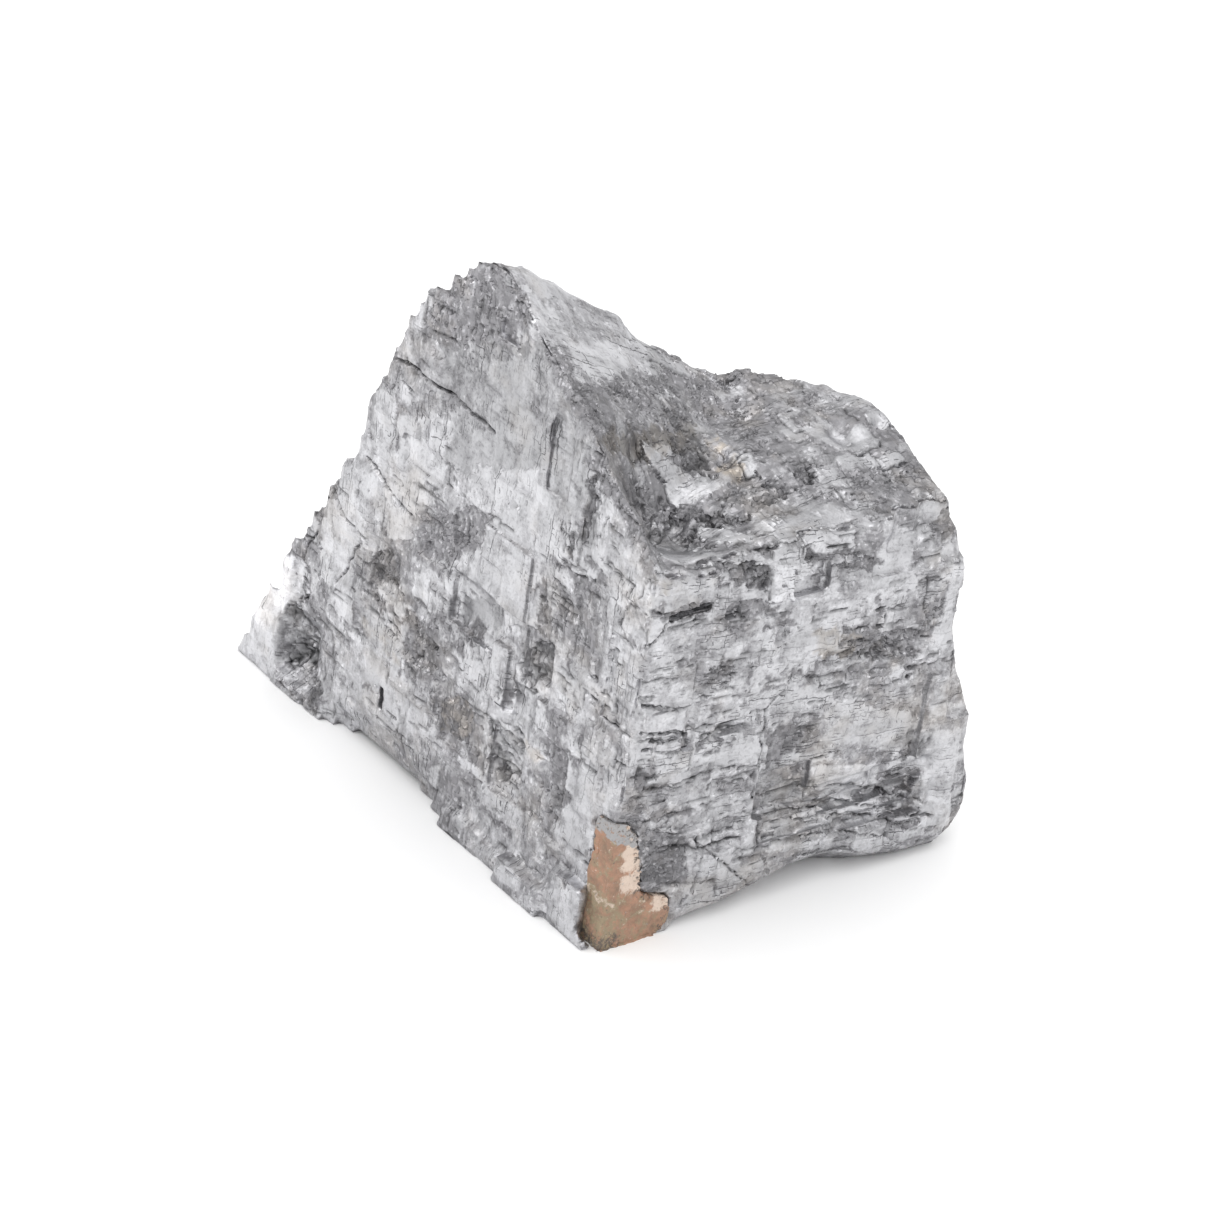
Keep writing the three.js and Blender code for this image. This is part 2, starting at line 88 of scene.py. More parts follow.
def linear(hex_colour: str) -> Colour:
    """Turns an sRGB hex colour into the linear colour that shaders take.

    Args:
        hex_colour: Six hex digits, such as "C8C8CA".

    Returns:
        Red, green, blue and an alpha of one, linear.
    """
    channels = [int(hex_colour[i : i + 2], 16) / 255 for i in (0, 2, 4)]
    straight = [c / 12.92 if c <= 0.04045 else ((c + 0.055) / 1.055) ** 2.4 for c in channels]
    return (straight[0], straight[1], straight[2], 1.0)


def add_node(
    tree: bpy.types.NodeTree, kind: str, inputs: dict[int | str, Value] | tuple[Value, ...] = (),
    **settings: object,
) -> bpy.types.Node:
    """Adds a node, sets its properties and fills its inputs.

    Args:
        tree: The node tree that gets the node.
        kind: Blender's name of the node type, without "ShaderNode".
        inputs: Values to set or output sockets to link, by name or index of the input, or in order.
        **settings: Properties of the node itself, such as its operation.

    Returns:
        The new node.
    """
    node = tree.nodes.new("ShaderNode" + kind)
    for name, value in settings.items():
        setattr(node, name, value)
    for key, value in inputs.items() if isinstance(inputs, dict) else enumerate(inputs):
        if isinstance(value, Socket):
            tree.links.new(value, node.inputs[key])
        else:
            node.inputs[key].default_value = value
    return node


def new_material(name: str) -> tuple[bpy.types.Material, bpy.types.NodeTree, dict[str, Socket]]:
    """Makes a material.

    Args:
        name: Name of the material.

    Returns:
        The material, its node tree, and the inputs of its shader.
    """
    material = bpy.data.materials.new(name)
    material.use_nodes = True
    tree = material.node_tree
    return material, tree, tree.nodes["Principled BSDF"].inputs


def select_only(piece: bpy.types.Object) -> None:
    """Makes a piece the only selected object, and the active one."""
    bpy.ops.object.select_all(action="DESELECT")
    piece.select_set(True)
    bpy.context.view_layer.objects.active = piece


def copy_of_solid(node: str, name: str) -> bpy.types.Object:
    """Copies a solid's mesh into a new piece and merges its loose triangles.

    Args:
        node: Name of the solid.
        name: Name of the new piece.

    Returns:
        The new piece, with its origin at the part's origin.
    """
    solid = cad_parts[node]
    mesh = solid.data.copy()
    mesh.transform(solid.matrix_world)
    piece = bpy.data.objects.new(name, mesh)
    bpy.context.scene.collection.objects.link(piece)
    mesh.name = name
    mesh.materials.clear()
    select_only(piece)
    bpy.ops.object.mode_set(mode="EDIT")
    bpy.ops.mesh.select_all(action="SELECT")
    bpy.ops.mesh.remove_doubles(threshold=0.002 * MM)
    bpy.ops.object.mode_set(mode="OBJECT")
    return piece


def apply_modifier(piece: bpy.types.Object, kind: str, **settings: object) -> None:
    """Adds a modifier to a piece, sets it and applies it.

    Args:
        piece: The piece.
        kind: Blender's name of the modifier type.
        **settings: Properties of the modifier.
    """
    select_only(piece)
    modifier = piece.modifiers.new(kind.title(), kind)
    for name, value in settings.items():
        setattr(modifier, name, value)
    bpy.ops.object.modifier_apply(modifier=modifier.name)


def vertex_places(piece: bpy.types.Object) -> np.ndarray:
    """Returns the vertices of a piece as rows of x, y, z in metres."""
    places = np.empty(len(piece.data.vertices) * 3, dtype=np.float32)
    piece.data.vertices.foreach_get("co", places)
    return places.reshape(-1, 3).astype(np.float64)


def vertex_normals(piece: bpy.types.Object) -> np.ndarray:
    """Returns the vertex normals of a piece as rows of x, y, z."""
    normals = np.empty(len(piece.data.vertices) * 3, dtype=np.float32)
    piece.data.vertex_normals.foreach_get("vector", normals)
    return normals.reshape(-1, 3).astype(np.float64)


def move_vertices(piece: bpy.types.Object, places: np.ndarray) -> None:
    """Puts the vertices of a piece at new places, kept inside the box of the solids."""
    lowest, highest = np.array(CAD_BOX[0]), np.array(CAD_BOX[1])
    inside = np.clip(places, lowest, highest).astype(np.float32)
    piece.data.vertices.foreach_set("co", inside.ravel())
    piece.data.update()


def store(piece: bpy.types.Object, name: str, values: np.ndarray) -> None:
    """Stores a value for each vertex of a piece under a name, for its material."""
    attribute = piece.data.attributes.new(name, "FLOAT", "POINT")
    attribute.data.foreach_set("value", values.astype(np.float32))


def corner_places(piece: bpy.types.Object) -> np.ndarray:
    """Returns the vertices of a piece in the corner frame, in millimetres."""
    return (vertex_places(piece) - np.array(corner_origin())) / MM


def smooth_noise(shape: tuple[int, int], cells: Point, rng: np.random.Generator) -> np.ndarray:
    """Makes a soft random field.

    Args:
        shape: Rows and columns of the field.
        cells: Spacing of the random values down and across, in grid cells.
        rng: Source of the random values.

    Returns:
        Values around 0, mostly between -1 and 1.
    """
    rows = int(shape[0] / cells[0]) + 3
    columns = int(shape[1] / cells[1]) + 3
    coarse = rng.uniform(-1.0, 1.0, (rows, columns))
    row = np.arange(shape[0]) / cells[0]
    column = np.arange(shape[1]) / cells[1]
    return bilinear(coarse, *np.meshgrid(row, column, indexing="ij"))


def bilinear(grid: np.ndarray, row: np.ndarray, column: np.ndarray) -> np.ndarray:
    """Reads a grid between its cells, with eased steps from one cell to the next.

    Args:
        grid: The grid.
        row: Row of each reading, as a real number.
        column: Column of each reading.

    Returns:
        One value for each reading.
    """
    row = np.clip(row, 0, grid.shape[0] - 1.001)
    column = np.clip(column, 0, grid.shape[1] - 1.001)
    r, c = row.astype(int), column.astype(int)
    a, b = row - r, column - c
    a, b = a * a * (3 - 2 * a), b * b * (3 - 2 * b)
    upper = grid[r, c] * (1 - b) + grid[r, c + 1] * b
    lower = grid[r + 1, c] * (1 - b) + grid[r + 1, c + 1] * b
    return upper * (1 - a) + lower * a


@dataclass(frozen=True)
class Ramp:
    """A share between 0 and 1 that changes over a span from a start.

    Attributes:
        start: Value where it starts.
        span: How far it takes.
    """

    start: float
    span: float

    def rise(self, values: np.ndarray) -> np.ndarray:
        """Returns the share that grows with the values, and is 0 below the start."""
        return np.clip((values - self.start) / self.span, 0.0, 1.0)

    def fall(self, values: np.ndarray) -> np.ndarray:
        """Returns the share that shrinks as the values grow, and is 0 above the start."""
        return np.clip((self.start - values) / self.span, 0.0, 1.0)


@dataclass(frozen=True)
class View:
    """The view of the lump: where the camera stands, and how large what it sees is in pixels.

    Attributes:
        azimuth: Where the camera looks, in degrees from +Y towards +X.
        elevation: How far above the horizon it stands, in degrees.
        roll: How far it is tipped, in degrees.
        distance_mm: From the foot of the front edge.
        focus_px: Its focal length, in pixels of the view.
        corner_px: Where the foot of the front edge falls in the view.
        width_px: Width and height of the view.
    """

    azimuth: float = 41.0
    elevation: float = 28.0
    roll: float = -8.5
    distance_mm: float = 300.0
    focus_px: float = 3750.0
    corner_px: Point = (597.0, 952.0)
    width_px: float = 1214.0

    def axes(self) -> tuple[np.ndarray, np.ndarray, np.ndarray]:
        """Works out the directions of the view.

        Returns:
            The directions to its right, to its top and into it.
        """
        azimuth, elevation, roll = (math.radians(a) for a in (self.azimuth, self.elevation, self.roll))
        ahead = math.cos(elevation)
        forward = np.array((math.sin(azimuth) * ahead, math.cos(azimuth) * ahead, -math.sin(elevation)))
        level = np.array((math.cos(azimuth), -math.sin(azimuth), 0.0))
        upright = np.cross(level, forward)
        right = math.cos(roll) * level - math.sin(roll) * upright
        up = math.sin(roll) * level + math.cos(roll) * upright
        return right, up, forward

    def ray(self, pixel: Point) -> np.ndarray:
        """Returns the direction in which a pixel of the view is seen."""
        right, up, forward = self.axes()
        across = (pixel[0] - self.width_px / 2) / self.focus_px
        above = (self.width_px / 2 - pixel[1]) / self.focus_px
        return forward + across * right + above * up

    def eye(self) -> np.ndarray:
        """Returns the place of the camera in the corner frame, in millimetres."""
        return -self.distance_mm * self.ray(self.corner_px)


VIEW = View()


def box(left: float, top: float, right: float, bottom: float) -> Points:
    """Returns the corners of an upright box in the view, in its pixels."""
    return ((left, top), (right, top), (right, bottom), (left, bottom))


def on_face(axis: int, pixels: Points) -> Points:
    """Turns pixels of the view into places on one of the two faces at the front edge.

    Args:
        axis: 0 for the left face, where X is 0, or 1 for the right face, where Y is 0.
        pixels: The pixels.

    Returns:
        The places along the face and up it, to a tenth of a millimetre.
    """
    eye = VIEW.eye()
    rays = [VIEW.ray(pixel) for pixel in pixels]
    places = [eye - eye[axis] / ray[axis] * ray for ray in rays]
    return tuple((round(float(place[1 - axis]), 1), round(float(place[2]), 1)) for place in places)


def on_left(*pixels: Point) -> Points:
    """Turns pixels of the view into places on the left face."""
    return on_face(0, pixels)


def on_right(*pixels: Point) -> Points:
    """Turns pixels of the view into places on the right face."""
    return on_face(1, pixels)


def solid_in_corner_frame() -> BVHTree:
    """Returns the solid of the lump in the corner frame, in millimetres, for rays to fall on."""
    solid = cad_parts["galena_mass"]
    origin = corner_origin()
    vertices = [(solid.matrix_world @ vertex.co - origin) / MM for vertex in solid.data.vertices]
    return BVHTree.FromPolygons(vertices, [tuple(polygon.vertices) for polygon in solid.data.polygons])


LUMP = solid_in_corner_frame()
# Places on the top are pixels of a part of the view that starts at this pixel and is enlarged.
TOP_PART_PX = (540.0, 190.0)
TOP_PART_ZOOM = 3.5636


def on_top(*pixels: Point) -> Points:
    """Turns pixels of the enlarged part of the view into places along X and along Y on the top."""
    places = []
    for pixel in pixels:
        seen = tuple(start + place / TOP_PART_ZOOM for start, place in zip(TOP_PART_PX, pixel))
        hit = LUMP.ray_cast(Vector(VIEW.eye()), Vector(VIEW.ray(seen)))[0]
        places.append((round(hit.x, 1), round(hit.y, 1)))
    return tuple(places)


class Finding(Enum):
    """What can be seen at a place of a cleavage face."""

    PLATEAU = "smooth bright cleavage"
    # A grey patch's tone is painted light and shade for its angle: duller below one, lighter above one.
    GREY = "smooth cleavage turned to another angle, duller"
    BROKEN = "splintered and grainy"
    # A hole's low tone is painted shade in it.
    HOLE = "deep and dark"
    STAINED = "faintly tinted by iron or clay"
    CLAY = "coated with pale clay"


@dataclass(frozen=True)
class Mark:
    """One thing seen on a face: a patch with straight sides.

    Attributes:
        finding: What it is.
        corners: Its corners on the face, in millimetres.
        lift: How far it stands out, or under zero how deep it lies, in millimetres.
        tone: How bright it is next to the rest of the face; on holes and grey patches this is painted shade,
            and on glare and glint marks a painted highlight.
    """

    finding: Finding
    corners: tuple[Point, ...]
    lift: float
    tone: float


@dataclass(frozen=True)
class Crack:
    """A cleavage crack: a thin groove through points of a face, in millimetres, painted dark as painted
    shade.
    """

    points: tuple[Point, ...]
    width: float = 0.16
    depth: float = 0.22


# Soft random fields of several sizes: cells down, cells across, weight.
WAVER_ALONG: Octaves = ((34, 34, 0.35), (12, 12, 0.20), (4, 4, 0.10))
WAVER_UP: Octaves = ((34, 34, 0.30), (12, 12, 0.16), (4, 4, 0.08))
FRAY_ALONG: Octaves = ((14, 14, 0.6), (6, 6, 0.4), (3, 3, 0.2))
FRAY_UP: Octaves = ((14, 14, 0.5), (6, 6, 0.3), (3, 3, 0.2))
STREAKS: Octaves = ((26, 44, 0.7), (10, 18, 0.7), (5, 9, 0.7), (3, 5, 0.6), (2, 2, 0.5))
RUBBLE: Octaves = ((12, 12, 0.8), (5, 5, 0.7), (2, 2, 0.6))
STAIN_CLOUDS: Octaves = ((60, 60, 1.0), (16, 16, 0.8), (5, 5, 0.5))
GRAIN_CLOUDS: Octaves = ((60, 60, 1.0), (20, 20, 0.6))

# How much of the fine relief and tone below it a mark keeps, unless it keeps all of it.
KEPT_UNDER = {Finding.PLATEAU: 0.25, Finding.GREY: 0.4}
# How strongly a mark stains.
STAIN_DEPTH = {Finding.STAINED: 0.45, Finding.CLAY: 0.85}
SPLINTER_MM = 0.06
PLATEAU_GRAIN = 0.05
GREY_GRAIN = 0.5
# How much darker a crack is painted: painted shade in the groove.
CRACK_PAINTED_SHADE = 0.62
# A crack ends this many half-widths from its middle, and is at its deepest one half-width nearer.
CRACK_EDGE = 1.6


@dataclass
class Relief:
    """Height, tone, stain and grain of one side of the lump, painted on a fine grid.

    Attributes:
        length: Size of the grid along the first direction, in millimetres.
        height: Size along the second direction.
        seed: Seed of its scattered steps and cracks.
        slope: Fall of its cleavage lines for each millimetre along the first direction.
        step: Usual length and height of its small plateaus.
        plateaus: How many small plateaus are scattered over it.
        cracks: How many small cracks are scattered over it.
        upright: Share of the cracks that run along the second direction.
        bruises: How many dark splintered streaks are scattered over it.
        panes: How many clean bright plateaus are scattered over it.
        mottling: Depth of its random light and dark.
        side_tone_with_painted_light: Its usual tone, painted light and shade for how the light falls on this
            side.
        graininess: How broken it usually is, from 0 to 1.
        crumbs: Height of its rubble, in millimetres.
        cell: Size of a cell of the grid, in millimetres.
        margin: How far the grid goes on outside the face, in millimetres.
        streaks_mm: Height of its streaks.
        rise_mm: Usual height of a small plateau, up or down.
        lean: Usual slope of a small plateau.
        shade: Usual change of its tone.
        plateau_spread: How much the sizes of the small plateaus differ.
        plateau_keeps: How much of the relief below it a small plateau keeps.
        bruise_size: Usual length and height of a dark streak, in millimetres.
        bruise_spread: How much these sizes differ.
        bruise_tone: Its darkest and its brightest tone.
        bruise_lift: How far it stands out.
        pane_size: Usual length and height of a clean plateau, in millimetres.
        pane_spread: How much these sizes differ.
        pane_skew: How far its upper side is shifted at most, either way, in millimetres.
        pane_nick: Share of its height that its lowest upper corner has, from least to most.
        pane_lift: Its least and its greatest lift.
        pane_tone: Its darkest and its brightest tone, next to the usual one.
        pane_odds: How many have a step, painted dark as painted shade, along the lower side, and how many
            along the left side.
        pane_step: Width of such a step, from least to most, in millimetres.
        step_depth: Depth of such a step, in millimetres.
        busy: Where cracks are: least and greatest level of a soft random field that lets one through.
        crack_length: Shortest crack, and how much longer the longest is, in millimetres.
        crack_width: Its least and its greatest width.
        crack_depth: Its least and its greatest depth.
        waver_room: Room for the wavering sides of a patch, in millimetres.
        shape: Rows and columns of the grid.
        rng: Source of its random values.
        u: Place of each cell along the first direction, wavering, in millimetres.
        v: The same, along the second direction.
        fray_u: How far the sides of a broken patch fray, along the first direction.
        fray_v: The same, along the second direction.
        ragged: Its streaks, mostly from -1 to 1.
        lift: Height of each cell, in millimetres.
        tone: Brightness of each cell, with painted shade in its cracks, holes and grey patches and painted
            highlights on its glare marks.
        stain: How stained it is, from 0 to 1.
        grain: How broken it is, from 0 to 1.
    """

    length: float
    height: float
    seed: int
    slope: float = 0.0
    step: Point = (2.2, 1.0)
    plateaus: int = 900
    cracks: int = 420
    upright: float = 0.3
    bruises: int = 90
    panes: int = 70
    mottling: float = 0.045
    side_tone_with_painted_light: float = 1.0
    graininess: float = 0.40
    crumbs: float = 0.0
    cell: float = 0.1
    margin: float = 4.0
    streaks_mm: float = 0.03
    rise_mm: float = 0.055
    lean: float = 0.02
    shade: float = 0.06
    plateau_spread: float = 0.65
    plateau_keeps: float = 0.55
    bruise_size: Point = (3.2, 0.9)
    bruise_spread: float = 0.5
    bruise_tone: Point = (0.78, 0.94)
    bruise_lift: float = -0.05
    pane_size: Point = (2.6, 1.7)
    pane_spread: float = 0.45
    pane_skew: float = 0.3
    pane_nick: Point = (0.6, 1.0)
    pane_lift: Point = (0.0, 0.08)
    pane_tone: Point = (0.94, 1.05)
    pane_odds: Point = (0.65, 0.35)
    pane_step: Point = (0.10, 0.18)
    step_depth: float = 0.15
    busy: Point = (-0.8, 0.5)
    crack_length: Point = (0.5, 3.4)
    crack_width: Point = (0.09, 0.17)
    crack_depth: Point = (0.08, 0.2)
    waver_room: float = 0.6
    shape: tuple[int, int] = field(init=False)
    rng: np.random.Generator = field(init=False)
    u: np.ndarray = field(init=False)
    v: np.ndarray = field(init=False)
    fray_u: np.ndarray = field(init=False)
    fray_v: np.ndarray = field(init=False)
    ragged: np.ndarray = field(init=False)
    lift: np.ndarray = field(init=False)
    tone: np.ndarray = field(init=False)
    stain: np.ndarray = field(init=False)
    grain: np.ndarray = field(init=False)

    def __post_init__(self) -> None:
        """Makes the empty grids and scatters the plateaus, the cracks and the grain over them."""
        rows = int((self.height + 2 * self.margin) / self.cell)
        columns = int((self.length + 2 * self.margin) / self.cell)
        self.shape = (rows, columns)
        self.rng = np.random.default_rng(self.seed)
        v, u = np.mgrid[0:rows, 0:columns] * self.cell - self.margin
        self.u = u + self._octaves(WAVER_ALONG)
        self.v = v + self._octaves(WAVER_UP) + self.slope * u
        self.fray_u = self._octaves(FRAY_ALONG)
        self.fray_v = self._octaves(FRAY_UP)
        self.ragged = self._octaves(STREAKS)
        self.lift = self.streaks_mm * self.ragged + self.crumbs * self._octaves(RUBBLE)
        self.tone = self.side_tone_with_painted_light + self.mottling * self.ragged
        self.stain = np.clip(0.20 * self._octaves(STAIN_CLOUDS), 0.0, 0.3)
        self.grain = np.clip(self.graininess + 0.50 * self._octaves(GRAIN_CLOUDS), 0.0, 1.0)
        self._scatter_plateaus()
        self._scatter_bruises()
        self._scatter_panes()
        self._scatter_cracks()

    def _octaves(self, octaves: Octaves) -> np.ndarray:
        """Adds up soft random fields of several sizes."""
        fields = (smooth_noise(self.shape, cells, self.rng) * weight for *cells, weight in octaves)
        return sum(fields)

    def _window(self, u0: float, u1: float, v0: float, v1: float) -> tuple[slice, slice]:
        """Returns the part of the grid that holds a box, with room for its wavering sides."""
        room = self.waver_room + abs(self.slope) * self.length
        rows = [int((v + self.margin + side * room) / self.cell) for v, side in ((v0, -1), (v1, 1))]
        room = self.waver_room
        columns = [int((u + self.margin + side * room) / self.cell) for u, side in ((u0, -1), (u1, 1))]
        ends = zip((rows, columns), self.shape)
        return tuple(slice(max(start, 0), max(min(end, most), 0)) for (start, end), most in ends)

    def _sizes(self, usual: Point, spread: float) -> np.ndarray:
        """Draws a random length and height round the usual ones."""
        return np.exp(self.rng.normal(0.0, spread, 2)) * np.array(usual)

    def _scatter_plateaus(self) -> None:
        """Scatters small plateaus, each a little higher or lower than what lies round it."""
        for _ in range(self.plateaus):
            size = self._sizes(self.step, self.plateau_spread)
            u0 = self.rng.uniform(-self.margin, self.length + self.margin)
            v0 = self.rng.uniform(-self.margin, self.height + self.margin)
            window = self._window(u0, u0 + size[0], v0, v0 + size[1])
            u, v = self.u[window], self.v[window]
            inside = (u > u0) & (u < u0 + size[0]) & (v > v0) & (v < v0 + size[1])
            rise = self.rng.normal(0.0, self.rise_mm)
            lean = self.rng.normal(0.0, self.lean, 2)
            tilt = lean[0] * (u - u0) + lean[1] * (v - v0)
            lifted = self.lift[window] * self.plateau_keeps + rise + tilt
            self.lift[window] = np.where(inside, lifted, self.lift[window])
            shade = 1.0 + self.rng.normal(0.0, self.shade)
            self.tone[window] = np.where(inside, 0.5 * self.tone[window] + 0.5 * shade, self.tone[window])

    def _scatter_bruises(self) -> None:
        """Scatters dark splintered streaks along the cleavage."""
        for _ in range(self.bruises):
            long, high = self._sizes(self.bruise_size, self.bruise_spread)
            if self.rng.uniform() < self.upright:
                long, high = 0.7 * high, 0.9 * long
            u = self.rng.uniform(0.0, self.length)
            v = self.rng.uniform(0.0, self.height)
            lean = self.rng.uniform(0.0, 0.5) * high
            corners = ((u, v), (u + long, v + lean), (u + 0.9 * long, v + high), (u + 0.1 * long, v + high))
            self.mark(Mark(Finding.BROKEN, corners, self.bruise_lift, self.rng.uniform(*self.bruise_tone)))

    def _scatter_panes(self) -> None:
        """Scatters clean plateaus with straight sides, many with a step along one or two sides, cut in and
        painted dark as painted shade.
        """
        for _ in range(self.panes):
            long, high = self._sizes(self.pane_size, self.pane_spread)
            u = self.rng.uniform(0.0, self.length)
            v = self.rng.uniform(0.0, self.height)
            skew = self.rng.uniform(-self.pane_skew, self.pane_skew)
            nick = self.rng.uniform(*self.pane_nick)
            corners = (
                (u, v), (u + long, v), (u + long + skew, v + nick * high), (u + 0.6 * long, v + high),
                (u + skew, v + high),
            )
            lift = self.rng.uniform(*self.pane_lift)
            tone = self.side_tone_with_painted_light * self.rng.uniform(*self.pane_tone)
            self.mark(Mark(Finding.PLATEAU, corners, lift, tone))
            for end, odds in zip(((u + long * nick, v), (u, v + high * nick)), self.pane_odds):
                if self.rng.uniform() < odds:
                    self.crack(Crack(((u, v), end), self.rng.uniform(*self.pane_step), self.step_depth))

    def _scatter_cracks(self) -> None:
        """Scatters short cracks along the two cleavage directions of the face."""
        busy = smooth_noise((int(self.height) + 9, int(self.length) + 9), (7, 7), self.rng)
        placed = 0
        while placed < self.cracks:
            u0 = self.rng.uniform(0, self.length)
            v0 = self.rng.uniform(0, self.height)
            if busy[int(v0), int(u0)] < self.rng.uniform(*self.busy):
                continue
            placed += 1
            shortest, longer = self.crack_length
            long = shortest + longer * self.rng.uniform() ** 2
            width = self.rng.uniform(*self.crack_width)
            if self.rng.uniform() < self.upright:
                end = (u0, v0 + 0.6 * long)
            else:
                end = (u0 + long, v0)
            self.crack(Crack(((u0, v0), end), width, self.rng.uniform(*self.crack_depth)))

    def crack(self, crack: Crack) -> None:
        """Cuts a crack into the relief and paints it darker, as painted shade in the groove.

        Args:
            crack: The crack, in the millimetres of the face.
        """
        for (u0, v0), (u1, v1) in zip(crack.points, crack.points[1:]):
            window = self._window(min(u0, u1), max(u0, u1), min(v0, v1), max(v0, v1))
            u, v = self.u[window], self.v[window]
            run, climb = u1 - u0, v1 - v0
            reach = max(run * run + climb * climb, 1e-6)
            share = np.clip(((u - u0) * run + (v - v0) * climb) / reach, 0.0, 1.0)
            away = np.hypot(u - u0 - share * run, v - v0 - share * climb)
            cut = np.clip(CRACK_EDGE - away / (crack.width * 0.5), 0.0, 1.0)
            self.lift[window] -= crack.depth * cut
            self.tone[window] *= 1.0 - CRACK_PAINTED_SHADE * cut

    def mark(self, mark: Mark) -> None:
        """Paints one mark into the relief.

        Args:
            mark: The mark, in the millimetres of the face.
        """
        us = [u for u, _ in mark.corners]
        vs = [v for _, v in mark.corners]
        window = self._window(min(us), max(us), min(vs), max(vs))
        u, v = self.u[window], self.v[window] - self.slope * 0.5 * (min(us) + max(us))
        if mark.finding is not Finding.PLATEAU:
            u, v = u + self.fray_u[window], v + self.fray_v[window]
        inside = np.zeros(u.shape, dtype=bool)
        for (u0, v0), (u1, v1) in zip(mark.corners, mark.corners[1:] + mark.corners[:1]):
            crosses = (v0 > v) != (v1 > v)
            rise = v1 - v0 if v1 != v0 else 1e-9
            inside ^= crosses & (u < u0 + (v - v0) * (u1 - u0) / rise)
        keep = KEPT_UNDER.get(mark.finding, 1.0)
        calmer = 1.0 + (self.tone[window] - 1.0) * keep
        share = 1.0
        if mark.finding in (Finding.BROKEN, Finding.HOLE):
            share = np.clip(0.75 - 0.7 * self.ragged[window], 0.0, 1.3)
        lifted = self.lift[window] * keep + mark.lift * share
        self.lift[window] = np.where(inside, lifted, self.lift[window])
        # The mark's tone is painted in: on a hole it is painted shade, on a grey patch painted light and
        # shade for its angle, and above one on the glare and glint marks a painted highlight.
        shade = 1.0 - (1.0 - mark.tone) * share
        self.tone[window] = np.where(inside, calmer * shade, self.tone[window])
        if mark.finding is Finding.BROKEN:
            rubble = self.rng.normal(0.0, SPLINTER_MM, u.shape)
            self.lift[window] += np.where(inside, rubble, 0.0)
            self.grain[window] = np.where(inside, 1.0, self.grain[window])
        elif mark.finding in STAIN_DEPTH:
            patchy = STAIN_DEPTH[mark.finding] * np.clip(0.8 + 0.6 * self.ragged[window], 0.0, 1.0)
            self.stain[window] = np.where(inside, patchy, self.stain[window])
        elif mark.finding is Finding.PLATEAU:
            self.grain[window] = np.where(inside, PLATEAU_GRAIN, self.grain[window])
        elif mark.finding is Finding.GREY:
            self.grain[window] = np.where(inside, GREY_GRAIN * self.grain[window], self.grain[window])

    def read(self, grid: np.ndarray, u: np.ndarray, v: np.ndarray) -> np.ndarray:
        """Reads one of the grids at places of the face.

        Args:
            grid: The grid, one of this relief's own.
            u: Places along the first direction, in millimetres.
            v: Places along the second direction.

        Returns:
            One value for each place.
        """
        return bilinear(grid, (v + self.margin) / self.cell, (u + self.margin) / self.cell)


# Short names, for the tables: plateau, grey, broken, hole, stained and clay.
P, G, B, H, S, C = Finding

# Places on the left face, in pixels of the view.
GREY_PATCH = box(444, 347, 546, 470)
GLINTING_PATCH = box(419, 510, 488, 559)
ROUGH_SPOT = box(368, 554, 399, 579)
PALE_PLATEAU = ((470, 551), (539, 551), (539, 623), (506, 623), (464, 591))
DARK_PATCH_UNDER_IT = box(454, 599, 501, 626)
UPPER_RECESS = box(523, 644, 550, 688)
LOWER_RECESS = box(490, 727, 520, 780)
GREENISH_PATCH = box(437, 695, 469, 739)
LONG_CRACK = ((392, 360), (409, 365), (445, 390), (465, 411), (490, 436))
CRACK_ABOVE_IT = ((407, 383), (421, 396))
MIDDLE_CRACK = ((365, 459), (383, 482), (414, 519))
SHORT_CRACK = ((335, 489), (364, 536))
OUTER_CRACK = ((320, 523), (314, 536), (307, 546), (300, 560))
INNER_CRACK = ((363, 541), (353, 557), (344, 570), (339, 579))
POCKET_TOP = (295, 555)
GLARE_TOP = ((255, 555), (298, 555))
FAR_TIP = (242, 610)
